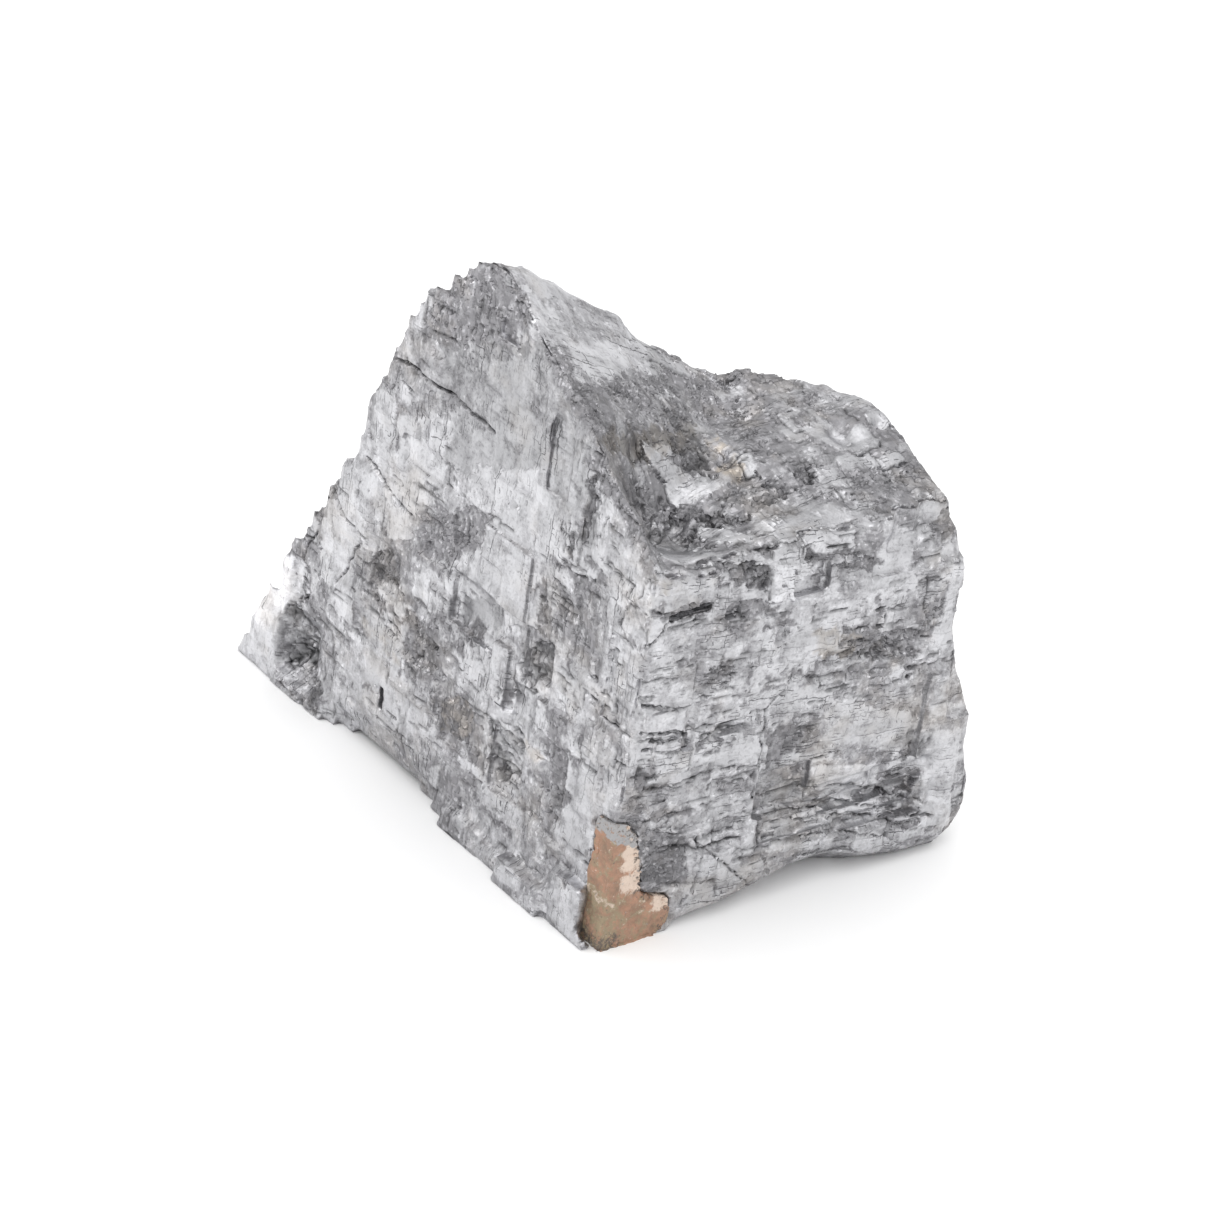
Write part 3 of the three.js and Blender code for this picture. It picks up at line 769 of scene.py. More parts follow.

# What is seen on the left face, as (along Y, up Z).
# Tones below one on the holes and grey patches here are painted shade; the glare and glint marks above one
# are painted highlights.
LEFT_MARKS = (
    Mark(B, ((16.6, 47.4), (0.6, 37.4), (0.4, 34.4), (3.4, 35.4), (9.0, 38.8), (17.2, 44.4)), -0.08, 0.95),
    Mark(B, ((33.0, 40.5), (30.0, 46.0), (24.0, 50.0), (19.5, 48.5), (21.0, 42.5), (27.0, 40.0)),
         -0.05, 1.10),
    Mark(G, on_left(*GREY_PATCH), -0.10, 0.80),
    Mark(G, ((17.0, 45.5), (9.5, 41.0), (8.0, 33.0), (14.6, 34.4)), 0.02, 0.84),
    Mark(B, on_left(*GLINTING_PATCH), -0.12, 0.88),
    Mark(B, on_left(*ROUGH_SPOT), -0.20, 0.70),
    Mark(P, on_left(*PALE_PLATEAU), 0.10, 1.04),
    Mark(G, on_left(*DARK_PATCH_UNDER_IT), -0.10, 0.74),
    Mark(P, ((18.2, 20.0), (15.6, 20.6), (16.2, 15.0), (18.0, 15.6)), 0.12, 1.04),
    Mark(H, on_left(*UPPER_RECESS), -0.25, 0.52),
    Mark(H, on_left(*LOWER_RECESS), -0.25, 0.50),
    Mark(B, ((13.9, 27.0), (13.0, 27.2), (12.4, 22.8), (13.4, 22.6)), -0.18, 0.62),
    Mark(B, ((8.6, 39.6), (7.8, 39.2), (9.8, 30.4), (10.7, 30.8)), -0.16, 0.66),
    Mark(B, on_left(*GREENISH_PATCH), -0.10, 0.84),
    Mark(S, ((24.2, 10.2), (20.6, 12.2), (20.0, 9.3), (23.5, 7.2)), -0.02, 0.96),
    Mark(H, ((32.8, 7.0), (32.2, 7.2), (31.9, 5.4), (32.5, 5.2)), -0.40, 0.30),
    Mark(S, ((12.9, 12.9), (9.8, 13.0), (9.7, 12.2), (12.8, 12.1)), 0.00, 0.98),
    Mark(S, ((36.6, 12.2), (30.0, 11.6), (30.3, 10.6), (36.4, 11.0)), 0.00, 0.97),
    # Glints along the foot of the far end, painted brighter: painted highlights.
    Mark(B, ((47.0, 1.6), (44.0, 3.2), (41.3, 2.9), (39.2, 1.8), (41.6, 0.4), (46.3, 0.6)), 0.0, 1.14),
    Mark(H, ((47.6, 7.2), (46.2, 7.2), (43.4, 5.2), (44.2, 2.8), (46.8, 1.2), (47.6, 3.0)), -0.25, 0.25),
    Mark(H, ((43.4, 3.4), (40.6, 2.8), (40.8, 0.8), (43.6, 1.2)), -0.10, 0.55),
    Mark(B, on_left(POCKET_TOP) + ((45.2, 12.4), (42.6, 7.8), (44.6, 7.4)), -0.15, 0.70),
    # Glare on the plates of the far tip, painted as a tone above one: a painted highlight.
    Mark(P, on_left(*GLARE_TOP) + ((45.9, 9.6), (48.0, 6.6), (51.8, 4.3)), 0.05, 1.34),
    Mark(P, on_left(FAR_TIP) + ((47.8, 6.0), (46.9, 0.4), (53.0, 0.0)), 0.04, 1.08),
    # More glare on the far tip: a painted highlight.
    Mark(P, ((51.0, 6.6), (47.6, 12.4), (47.0, 10.8), (47.2, 8.0), (49.4, 3.9), (51.0, 4.4)), 0.04, 1.45),
    # A patch of glints painted brighter: painted highlights.
    Mark(B, ((29.8, 22.6), (29.9, 24.8), (25.2, 27.4), (24.4, 25.8)), -0.05, 1.22),
    Mark(P, ((6.2, 2.6), (2.0, 5.2), (0.4, 4.6), (0.6, 0.1), (5.0, 0.1)), 0.05, 1.08),
    Mark(P, ((7.0, 12.4), (1.2, 16.8), (1.0, 9.4), (5.4, 6.8)), 0.06, 1.05),
    Mark(B, ((10.0, 16.4), (7.4, 18.2), (6.4, 9.6), (9.0, 8.0)), -0.10, 0.82),
    Mark(B, ((30.0, 15.4), (24.8, 18.0), (24.0, 12.4), (29.2, 9.8)), -0.08, 0.86),
    Mark(P, ((42.4, 20.6), (37.8, 23.0), (36.8, 18.4), (41.4, 16.0)), 0.08, 1.10),
    Mark(P, ((37.8, 33.0), (34.6, 34.4), (34.4, 29.4), (37.4, 27.8)), 0.08, 1.04),
    Mark(P, ((43.4, 18.2), (38.6, 20.0), (38.0, 13.6), (42.6, 12.4)), 0.06, 1.08),
    Mark(P, ((34.4, 25.6), (31.0, 27.2), (30.8, 22.0), (34.0, 20.6)), 0.06, 1.08),
    Mark(P, ((34.0, 32.0), (27.8, 34.4), (27.6, 29.0), (33.4, 26.4)), 0.04, 1.09),
)
LEFT_CRACKS = (
    Crack(on_left(*LONG_CRACK), 0.20, 0.3),
    Crack(on_left(*CRACK_ABOVE_IT)),
    Crack(on_left(*MIDDLE_CRACK), 0.20, 0.3),
    Crack(on_left(*SHORT_CRACK), 0.20, 0.3),
    Crack(on_left(*OUTER_CRACK), 0.20, 0.3),
    Crack(on_left(*INNER_CRACK), 0.16, 0.25),
    Crack(((0.3, 34.0), (2.6, 30.0)), 0.12, 0.12),
    Crack(((2.4, 32.6), (3.2, 28.1)), 0.18, 0.2),
)

# Places on the right face, in pixels of the view.
TINTED_CORNER = box(657, 573, 671, 592)
DARK_RISERS = box(685, 597, 713.5, 605)
BRIGHT_BLOCK = box(772, 561.6, 796, 598.6)
RECESSED_BAND = box(845, 628, 924, 666)
LEDGE_TOP = ((661, 570), (715, 570))
LEDGE_FOOT = (661, 611)
UPPER_BLOCK = ((687, 713), (687, 736), (641, 736))
LOWER_BLOCK = ((690, 767), (651, 767))
SQUARE_TOP = (855, 830)
SQUARE_FOOT = (880, 850)

# What is seen on the right face, as (along X, up Z).
# Tones below one on the holes and grey patches here are painted shade.
RIGHT_MARKS = (
    Mark(P, on_right(*LEDGE_TOP) + ((6.6, 31.2), (3.2, 31.6)) + on_right(LEDGE_FOOT), 0.05, 0.98),
    Mark(S, on_right(*TINTED_CORNER), 0.00, 0.96),
    Mark(H, on_right(*DARK_RISERS), -0.25, 0.50),
    Mark(P, on_right(*BRIGHT_BLOCK), 0.12, 1.24),
    Mark(B, on_right(*RECESSED_BAND), -0.10, 0.92),
    Mark(P, ((0.9, 22.1),) + on_right(*UPPER_BLOCK), 0.15, 1.13),
    Mark(P, ((2.1, 19.0), (6.2, 17.9)) + on_right(*LOWER_BLOCK), 0.15, 1.13),
    Mark(P, ((21.0, 17.4), (31.0, 15.0), (31.4, 11.2), (21.4, 13.4)), 0.05, 0.97),
    Mark(H, ((21.8, 21.2), (26.4, 21.8), (30.5, 22.6), (31.0, 20.6), (26.4, 19.8), (23.0, 19.8)),
         -0.15, 0.66),
    Mark(G, ((15.4, 12.8), (20.8, 9.6), (21.2, 8.2), (16.4, 8.4)), -0.10, 0.66),
    Mark(P, ((20.6, 11.4), (28.5, 10.4), (29.0, 7.9), (21.7, 8.6)), 0.05, 1.10),
    Mark(G, ((22.6, 8.3), (33.4, 7.6), (33.3, 6.6), (23.8, 6.8)), -0.05, 0.74),
    Mark(G, ((16.4, 8.2), (22.2, 7.7), (22.2, 7.2), (16.4, 7.6)), -0.05, 0.74),
    Mark(G, ((16.0, 7.2), (25.0, 6.0), (25.0, 5.4), (16.0, 6.6)), -0.05, 0.74),
    Mark(G, ((15.8, 6.2), (24.4, 5.0), (24.4, 4.5), (15.8, 5.5)), -0.05, 0.70),
    Mark(P, ((16.6, 5.4), (24.2, 4.3), (24.2, 3.5), (16.6, 4.4)), 0.04, 1.10),
    Mark(P, ((16.6, 7.5), (22.2, 7.0), (22.2, 6.4), (16.6, 7.1)), 0.04, 1.10),
    Mark(G, ((24.2, 4.7), (30.2, 4.1), (30.2, 3.7), (24.2, 4.2)), -0.05, 0.74),
    Mark(P, ((24.8, 6.6), (32.4, 5.8), (32.4, 4.6), (24.8, 5.2)), 0.04, 1.10),
    Mark(H, ((29.0, 12.2), (34.0, 12.2), (34.2, 10.4), (29.6, 11.2)), -0.10, 0.66),
    Mark(P, ((33.2, 12.2), (36.8, 11.4), (37.2, 2.4), (33.8, 3.2)), 0.08, 1.05),
    Mark(P, ((33.6, 8.3), (35.4, 8.1), (35.8, 4.4), (34.4, 4.2)), 0.04, 1.02),
    Mark(P, on_right(SQUARE_TOP) + ((29.8, 3.6),) + on_right(SQUARE_FOOT) + ((26.6, 2.2),), 0.12, 1.06),
    Mark(P, ((20.4, 7.6), (23.4, 6.9), (23.5, 5.9), (20.5, 6.6)), 0.10, 1.05),
    Mark(P, ((8.8, 7.4), (12.4, 6.6), (12.6, 4.2), (9.0, 5.0)), 0.08, 1.02),
    Mark(B, ((1.2, 17.0), (2.2, 16.8), (2.6, 9.8), (1.2, 10.6)), -0.12, 0.70),
    Mark(B, ((3.4, 9.6), (8.0, 8.6), (8.6, 4.4), (4.0, 5.4)), -0.05, 0.84),
    Mark(G, ((17.6, 31.6), (24.0, 30.4), (24.2, 28.4), (17.8, 29.6)), -0.05, 0.92),
    Mark(B, ((7.2, 33.8), (11.2, 33.0), (11.4, 31.4), (7.4, 32.2)), -0.25, 0.62),
    Mark(B, ((15.4, 32.6), (24.4, 31.4), (24.4, 30.4), (15.4, 31.4)), -0.20, 0.74),
    Mark(S, ((18.0, 25.4), (22.6, 24.2), (22.8, 21.6), (18.2, 22.8)), 0.00, 0.97),
    Mark(P, ((32.0, 28.6), (33.4, 28.2), (33.8, 22.0), (32.4, 22.4)), 0.06, 1.03),
)
RIGHT_CRACKS = (
    Crack(((2.2, 30.3), (2.8, 30.8), (5.1, 30.6), (6.4, 30.7)), 0.18, 0.3),
    Crack(((17.3, 23.0), (14.2, 20.6), (14.1, 15.6), (15.4, 7.1)), 0.18, 0.25),
    Crack(((14.4, 12.0), (24.0, 11.2), (34.7, 8.6)), 0.14, 0.2),
    Crack(((15.4, 10.4), (26.0, 9.0), (35.0, 7.4)), 0.16, 0.25),
    Crack(((15.4, 9.2), (24.0, 8.4), (32.0, 7.0)), 0.14, 0.2),
    Crack(((16.0, 8.0), (24.0, 7.1), (29.0, 6.3)), 0.14, 0.2),
    Crack(((29.3, 31.4), (29.9, 26.0)), 0.14, 0.2),
    Crack(((17.4, 30.1), (17.7, 27.6)), 0.12, 0.15),
    Crack(((8.8, 9.1), (11.0, 7.2), (15.5, 3.4)), 0.16, 0.2),
    Crack(((9.0, 9.3), (9.2, 4.4)), 0.14, 0.2),
    Crack(((0.9, 22.5), (5.6, 21.9), (5.5, 20.4)), 0.16, 0.25),
    Crack(((2.0, 19.6), (6.2, 19.0), (6.4, 16.6)), 0.16, 0.25),
    Crack(((2.6, 31.1), (6.4, 31.3)), 0.24, 0.3),
    Crack(((2.8, 30.2), (6.6, 30.6)), 0.24, 0.3),
    Crack(((2.1, 29.5), (5.0, 29.8)), 0.18, 0.25),
    Crack(((2.7, 31.1), (1.5, 29.4), (0.5, 28.1)), 0.20, 0.25),
    Crack(((4.4, 31.2), (4.1, 30.3))),
    Crack(((5.6, 31.3), (5.4, 30.5))),
    Crack(((0.8, 23.1), (2.0, 23.1)), 0.22, 0.3),
    Crack(((0.9, 20.5), (3.6, 20.2), (6.0, 18.9)), 0.24, 0.3),
    Crack(((1.4, 18.8), (4.9, 18.2)), 0.24, 0.3),
)

# Pits of the two faces that are all but filled: their centres and reach.
HEALED_PITS = (((0.0, 20.0, 23.9), 2.2), ((35.0, 0.0, 6.3), 2.6), ((34.0, 0.0, 9.4), 1.6))

# Places on the top, in pixels of the enlarged part of the view.
PALE_FACET = ((120, 620), (100, 540), (260, 560), (340, 620), (330, 660), (200, 680))
CREAM_PATCH = ((590, 890), (640, 880), (700, 930), (718, 1026), (690, 1030), (630, 1010))
LOWER_SHELF = ((550, 1215), (640, 1215), (720, 1230), (740, 1255), (640, 1260), (570, 1250))
UPPER_PANE = ((890, 790), (960, 790), (1080, 890), (1070, 920), (980, 870), (900, 820))
LOWER_PANE = ((980, 990), (1060, 990), (1090, 1030), (1000, 1060))
CREST_TOP = (60, 560)
CREST_FOOT = (200, 860)
GLINT_START = (500, 700)
GLINT_END = (540, 790)
SMALL_PANE_START = (400, 905)
SMALL_PANE_END = (470, 940)
SHELF_TIP = (610, 1095)
SHELF_BACK = (500, 1000)
DARK_BESIDE_SHELF = ((480, 920), (560, 900), (600, 960), (610, 1030), (560, 1020))
BAND_END = (760, 1160)
POCKET_RIM = ((470, 1210), (540, 1260))
POCKET_INNER = (480, 1270)
SHADED_TOP = ((900, 1100), (1010, 1110))

# What is seen on the top, as (along X, along Y).
# Tones below one on the holes and grey patches here are painted shade, and the pale slab and the glinting
# zone are painted light.
TOP_MARKS = (
    # The pale slab on the top is a grey patch painted lighter: painted light for its angle.
    Mark(G, ((0.0, 13.0), (0.0, 24.0), (12.0, 27.0), (13.0, 19.0), (6.0, 15.0)), 0.0, 1.17),
    Mark(P, on_top(*PALE_FACET), 0.05, 1.12),
    Mark(P, ((1.6, 22.6), (9.0, 25.0), (10.0, 23.4), (2.0, 20.6)), -0.05, 1.06),
    Mark(B, on_top(CREST_TOP) + ((1.4, 12.8), (2.6, 10.7)) + on_top(CREST_FOOT)
         + ((-0.4, 12.7), (-0.4, 16.5)), -0.10, 0.76),
    Mark(B, ((10.6, 14.4), (14.6, 16.8), (15.0, 15.0), (11.0, 13.4)), -0.10, 0.76),
    # A glinting zone of the top, painted brighter: painted highlights.
    Mark(B, on_top(GLINT_START) + ((21.4, 20.8), (21.8, 18.6), (18.1, 16.8)) + on_top(GLINT_END),
         -0.15, 1.10),
    Mark(B, ((12.0, 17.6), (14.4, 18.6), (14.8, 17.2), (12.4, 16.2)), -0.15, 0.66),
    Mark(S, ((-0.5, 9.8), (4.7, 11.7), (14.8, 14.8), (13.9, 12.9), (9.7, 11.8), (4.3, 10.6), (0.0, 8.9)),
         -0.10, 0.62),
    Mark(P, on_top(SMALL_PANE_START) + ((10.5, 12.3),) + on_top(SMALL_PANE_END) + ((8.3, 11.0),), 0.05, 1.05),
    Mark(P, ((6.2, 12.0), (7.2, 10.6), (9.5, 9.9)) + on_top(SHELF_TIP) + ((11.9, 9.0),)
         + on_top(SHELF_BACK) + ((8.5, 11.4),), 0.15, 0.98),
    Mark(H, on_top(*DARK_BESIDE_SHELF) + ((11.2, 11.3),), -0.20, 0.58),
    Mark(C, on_top(*CREAM_PATCH), 0.05, 1.12),
    Mark(B, ((2.7, 8.9), (5.0, 9.8), (7.5, 9.7), (9.6, 8.6), (10.9, 6.0)) + on_top(BAND_END)
         + ((11.0, 3.7), (9.0, 6.4), (7.3, 8.2), (4.2, 8.0), (2.0, 7.2)), -0.15, 0.62),
    Mark(H, ((0.8, 3.2), (5.0, 7.8)) + on_top(*POCKET_RIM) + ((6.4, 1.9), (5.6, 2.2))
         + on_top(POCKET_INNER) + ((4.2, 5.0),), -0.25, 0.44),
    Mark(P, on_top(*LOWER_SHELF), 0.12, 1.04),
    Mark(P, ((2.1, 1.9), (3.2, 0.9), (5.1, 1.2), (5.6, 2.4), (4.0, 3.0)), 0.08, 1.08),
    Mark(H, ((17.8, 9.2), (18.8, 9.4), (19.5, 11.4), (18.6, 11.2)), -0.30, 0.50),
    Mark(H, ((15.0, 6.8), (16.8, 7.2), (17.2, 5.4), (15.4, 5.2)), -0.35, 0.45),
    Mark(H, ((13.8, 5.8), (15.2, 5.8), (15.3, 4.4), (13.9, 4.4)), -0.30, 0.48),
    Mark(P, ((12.6, 3.6), (14.9, 3.8), (15.1, 1.7), (12.8, 1.5)), 0.12, 1.08),
    Mark(H, ((13.3, 3.2), (14.3, 3.3), (14.4, 2.2), (13.4, 2.1)), -0.40, 0.40),
    Mark(H, ((19.2, 7.4), (20.6, 7.5), (20.6, 6.0), (19.3, 5.9)), -0.25, 0.55),
    Mark(P, on_top(*UPPER_PANE), 0.03, 0.98),
    Mark(P, on_top(*LOWER_PANE), 0.03, 0.98),
    Mark(G, on_top(*SHADED_TOP) + ((18.4, 2.2), (16.4, 3.5)), -0.05, 0.80),
    Mark(B, ((18.9, 15.2), (21.4, 15.2), (21.6, 17.6), (19.2, 17.6)), 0.05, 0.84),
    Mark(B, ((22.9, 11.6), (24.8, 11.8), (24.8, 13.8), (23.0, 13.6)), 0.05, 0.84),
)


# The patterns of the lump's sides are taken this far apart.
FACE_SPACING_MM = 40.0


@dataclass(frozen=True)
class Cells:
    """Staggered rectangles of cleavage: for each a random value and colour, and the place inside it."""

    size: Point
    value: Socket
    colour: Socket
    inside: Socket


@dataclass(frozen=True)
class GalenaFinish:
    """Galena: lead sulphide, soft and brittle, split along its cleavage by a hammer.

    Freshly split faces are bright lead-grey metal. What has been bruised, or has lain open, is duller
    and darker. Its dark cleavage lines are painted shade in small cracks and along steps, and its glints
    are painted highlights.

    Attributes:
        plate_mm: Length and height of the large cleavage rectangles, and so on for the smaller ones.
        plate_shade: Brightness of the darkest and the brightest of them.
        plate_line: Width in millimetres of the dark lines along them, and the share that has one.
        bruised: Where the mottle starts to show as a bruise, and where it shows nothing else.
        dusty: The same, for the specks.
        crowded: The same, for the crowds of dark lines.
        painted_glint_from: Of the crumbs where it is broken, those with more luck than this get a painted
            glint, a painted highlight.
        tilt: How far each rectangle leans.
        waver_by: How far its cleavage lines waver, along each direction of a face.
        grain_wears: How much broken places are more worn.
        specks_dull: How much the specks dull it.
        shades: How much the brightness of the chips differs: where it is broken, and anywhere.
        line_depth: How deep its dark lines are, next to its specks.
        bump_strength: How strongly these show.
    """

    name: str = "galena_split_lead_grey"
    bright: str = "C9C9CC"
    dull: str = "959497"
    # Colour of the dark cleavage lines: painted shade in small cracks and along steps.
    crack: str = "4E4D50"
    clay_stain: str = "B4ABA0"
    rough_bright: float = 0.32
    rough_dull: float = 0.55
    plate_mm: Point = (2.6, 1.1)
    chip_mm: Point = (0.55, 0.30)
    crumb_mm: Point = (0.26, 0.20)
    plate_shade: Point = (0.86, 1.06)
    plate_line: Point = (0.09, 0.46)
    chip_line: Point = (0.07, 0.26)
    waver_mm: float = 1 / 0.7
    mottle_mm: float = 1.5
    speck_mm: float = 0.24
    crowd_mm: float = 1 / 0.22
    bruised: Point = (0.50, 0.78)
    dusty: Point = (0.52, 0.68)
    crowded: Point = (0.45, 0.60)
    painted_glint_from: float = 0.94
    # How much brighter a painted glint is: a painted highlight in the colour.
    painted_glint: float = 0.55
    # How much the cleavage lines are painted dark, as painted shade.
    line_shade: float = 0.8
    bump_mm: float = 0.06
    tilt: float = 0.12
    waver_by: tuple[float, float, float] = (1.1, 0.8, 0.0)
    grain_wears: float = 0.28
    specks_dull: float = 0.75
    shades: Point = (0.42, 0.05)
    line_depth: float = 0.8
    bump_strength: float = 0.5

    def _cells(self, tree: bpy.types.NodeTree, place: Socket, size: Point, seed: float) -> Cells:
        """Divides the face into staggered rectangles of cleavage.

        Args:
            tree: The material's node tree.
            place: Place on the face, in millimetres.
            size: Length and height of a rectangle, in millimetres.
            seed: Shifts the pattern, so that no two layers agree.

        Returns:
            The rectangles.
        """
        scale = (1 / size[0], 1 / size[1], 1.0)
        scaled = add_node(tree, "VectorMath", (place, scale), operation="MULTIPLY").outputs[0]
        parts = add_node(tree, "SeparateXYZ", (scaled,)).outputs
        row = add_node(tree, "Math", (parts["Y"],), operation="FLOOR").outputs[0]
        key = add_node(tree, "Math", (row, seed), operation="ADD").outputs[0]
        shift = add_node(tree, "TexWhiteNoise", {"W": key}, noise_dimensions="1D").outputs["Value"]
        stagger = add_node(tree, "Math", (shift, 9.0, parts["X"]), operation="MULTIPLY_ADD").outputs[0]
        moved = add_node(tree, "CombineXYZ", (stagger, parts["Y"], parts["Z"])).outputs[0]
        corner = add_node(tree, "VectorMath", (moved,), operation="FLOOR").outputs[0]
        inside = add_node(tree, "VectorMath", (moved,), operation="FRACTION").outputs[0]
        noise = add_node(tree, "TexWhiteNoise", {"Vector": corner, "W": seed}, noise_dimensions="4D").outputs
        return Cells(size, noise["Value"], noise["Color"], inside)

    def _edges(self, tree: bpy.types.NodeTree, cells: Cells, line: Point) -> Socket:
        """Draws a thin line along the lower side, and for some the left side, of some rectangles.

        Args:
            tree: The material's node tree.
            cells: The rectangles.
            line: Width of the line in millimetres, and share of the rectangles that have one.

        Returns:
            A socket that is 1 on a line and 0 elsewhere.
        """
        width, share = line
        long, high = cells.size
        place = add_node(tree, "SeparateXYZ", (cells.inside,)).outputs
        luck = add_node(tree, "SeparateColor", (cells.colour,)).outputs
        lines = []
        for axis, size, drawn, odds in (("Y", high, luck[0], share), ("X", long, luck[1], share / 2)):
            near = add_node(tree, "Math", (place[axis], width / size), operation="LESS_THAN").outputs[0]
            has_one = add_node(tree, "Math", (drawn, odds), operation="LESS_THAN").outputs[0]
            lines.append(add_node(tree, "Math", (near, has_one), operation="MULTIPLY").outputs[0])
        return add_node(tree, "Math", tuple(lines), operation="MAXIMUM").outputs[0]

    def make(self) -> bpy.types.Material:
        """Returns the material."""
        material, tree, shader = new_material(self.name)
        shader["Metallic"].default_value = 1.0
        tone = add_node(tree, "Attribute", attribute_name="tone").outputs["Fac"]
        stain = add_node(tree, "Attribute", attribute_name="stain").outputs["Fac"]
        grain = add_node(tree, "Attribute", attribute_name="grain").outputs["Fac"]
        face = add_node(tree, "Attribute", attribute_name="face_mm").outputs["Vector"]

        # Straight cleavage lines waver a little.
        soft = {"Vector": face, "Scale": 1 / self.waver_mm, "Detail": 6.0, "Roughness": 0.62}
        waver = add_node(tree, "TexNoise", soft).outputs["Color"]
        bent = add_node(tree, "VectorMath", (waver, self.waver_by, face), operation="MULTIPLY_ADD").outputs[0]
        plates = self._cells(tree, bent, self.plate_mm, 3.0)
        chips = self._cells(tree, bent, self.chip_mm, 17.0)
        crumbs = self._cells(tree, bent, self.crumb_mm, 29.0)

        # Bruised and tarnished cleavage is mottled, and finely speckled.
        rough = {"Vector": face, "Scale": 1 / self.mottle_mm, "Detail": 8.0, "Roughness": 0.7}
        mottle = add_node(tree, "TexNoise", rough).outputs["Fac"]
        fine = {"Vector": bent, "Scale": 1 / self.speck_mm, "Detail": 3.0}
        specks = add_node(tree, "TexNoise", fine).outputs["Fac"]
        worn = add_node(tree, "Math", (grain, self.grain_wears, mottle), operation="MULTIPLY_ADD").outputs[0]
        bruise = add_node(tree, "MapRange", (worn, *self.bruised)).outputs[0]
        dusty = add_node(tree, "MapRange", (specks, *self.dusty)).outputs[0]
        speckled = add_node(tree, "Math", (dusty, worn), operation="MULTIPLY").outputs[0]
        dullness = add_node(
            tree, "Math", (speckled, self.specks_dull, bruise), operation="MULTIPLY_ADD", use_clamp=True
        ).outputs[0]
        greys = {0: dullness, 6: linear(self.bright), 7: linear(self.dull)}
        grey = add_node(tree, "Mix", greys, data_type="RGBA").outputs[2]
        stained = {0: stain, 6: grey, 7: linear(self.clay_stain)}
        clayed = add_node(tree, "Mix", stained, data_type="RGBA").outputs[2]

        # Each rectangle of cleavage is lighter or darker than the next, most of all where it is broken.
        coarse = add_node(tree, "MapRange", (plates.value, 0.0, 1.0, *self.plate_shade)).outputs[0]
        spread = add_node(tree, "Math", (grain, *self.shades), operation="MULTIPLY_ADD").outputs[0]
        differs = add_node(tree, "Math", (chips.value, 0.5), operation="SUBTRACT").outputs[0]
        shade = add_node(tree, "Math", (differs, spread, coarse), operation="MULTIPLY_ADD").outputs[0]
        # Painted glints: where it is broken, the luckiest crumbs are painted brighter, as painted highlights.
        luck = add_node(tree, "SeparateColor", (crumbs.colour,)).outputs[2]
        painted_glint = add_node(tree, "Math", (luck, self.painted_glint_from), operation="GREATER_THAN").outputs[0]
        painted_glint_share = add_node(tree, "Math", (painted_glint, grain), operation="MULTIPLY").outputs[0]
        shade = add_node(tree, "Math", (painted_glint_share, self.painted_glint, shade), operation="MULTIPLY_ADD").outputs[0]
        # The stored tone carries painted light and shade: each side's tone, shade in cracks, holes and grey
        # patches, and highlights on glare marks.
        toned = add_node(tree, "Math", (shade, tone), operation="MULTIPLY").outputs[0]
        lit = add_node(tree, "VectorMath", {0: clayed, "Scale": toned}, operation="SCALE").outputs[0]

        # Dark cleavage lines, in crowds: painted shade in small cracks and along steps, which the bump below
        # also dents in.
        wide = {"Vector": face, "Scale": 1 / self.crowd_mm, "Detail": 4.0, "Roughness": 0.6}
        crowd = add_node(tree, "TexNoise", wide).outputs["Fac"]
        crowded = add_node(tree, "MapRange", (crowd, *self.crowded)).outputs[0]
        edges = (self._edges(tree, plates, self.plate_line), self._edges(tree, chips, self.chip_line))
        lines = add_node(tree, "Math", edges, operation="MAXIMUM").outputs[0]
        dark = add_node(tree, "Math", (lines, crowded), operation="MULTIPLY").outputs[0]
        painted_line_shade = add_node(tree, "Math", (dark, self.line_shade), operation="MULTIPLY").outputs[0]
        lined = {0: painted_line_shade, 6: lit, 7: linear(self.crack)}
        colour = add_node(tree, "Mix", lined, data_type="RGBA").outputs[2]
        tree.links.new(colour, shader["Base Color"])
        roughness = (dullness, 0.0, 1.0, self.rough_bright, self.rough_dull)
        tree.links.new(add_node(tree, "MapRange", roughness).outputs[0], shader["Roughness"])

        # Each rectangle leans its own way, which makes some glint and others go dull.
        leans = add_node(tree, "VectorMath", (plates.colour, chips.colour), operation="ADD").outputs[0]
        level = add_node(tree, "VectorMath", (leans, (1.0, 1.0, 1.0)), operation="SUBTRACT").outputs[0]
        normal = add_node(tree, "NewGeometry").outputs["Normal"]
        tilted = (level, (self.tilt,) * 3, normal)
        leaning = add_node(tree, "VectorMath", tilted, operation="MULTIPLY_ADD").outputs[0]
        unit = add_node(tree, "VectorMath", (leaning,), operation="NORMALIZE").outputs[0]
        relief = add_node(tree, "Math", (dark, -self.line_depth, specks), operation="MULTIPLY_ADD").outputs[0]
        high = self.bump_mm * MM
        bumps = {"Height": relief, "Strength": self.bump_strength, "Distance": high, "Normal": unit}
        tree.links.new(add_node(tree, "Bump", bumps).outputs[0], shader["Normal"])
        return material


class Side(NamedTuple):
    """One side of the lump: its relief, its outward directions, its share of each vertex, and places."""

    relief: Relief
    outwards: np.ndarray
    share: np.ndarray
    places: tuple[np.ndarray, np.ndarray]


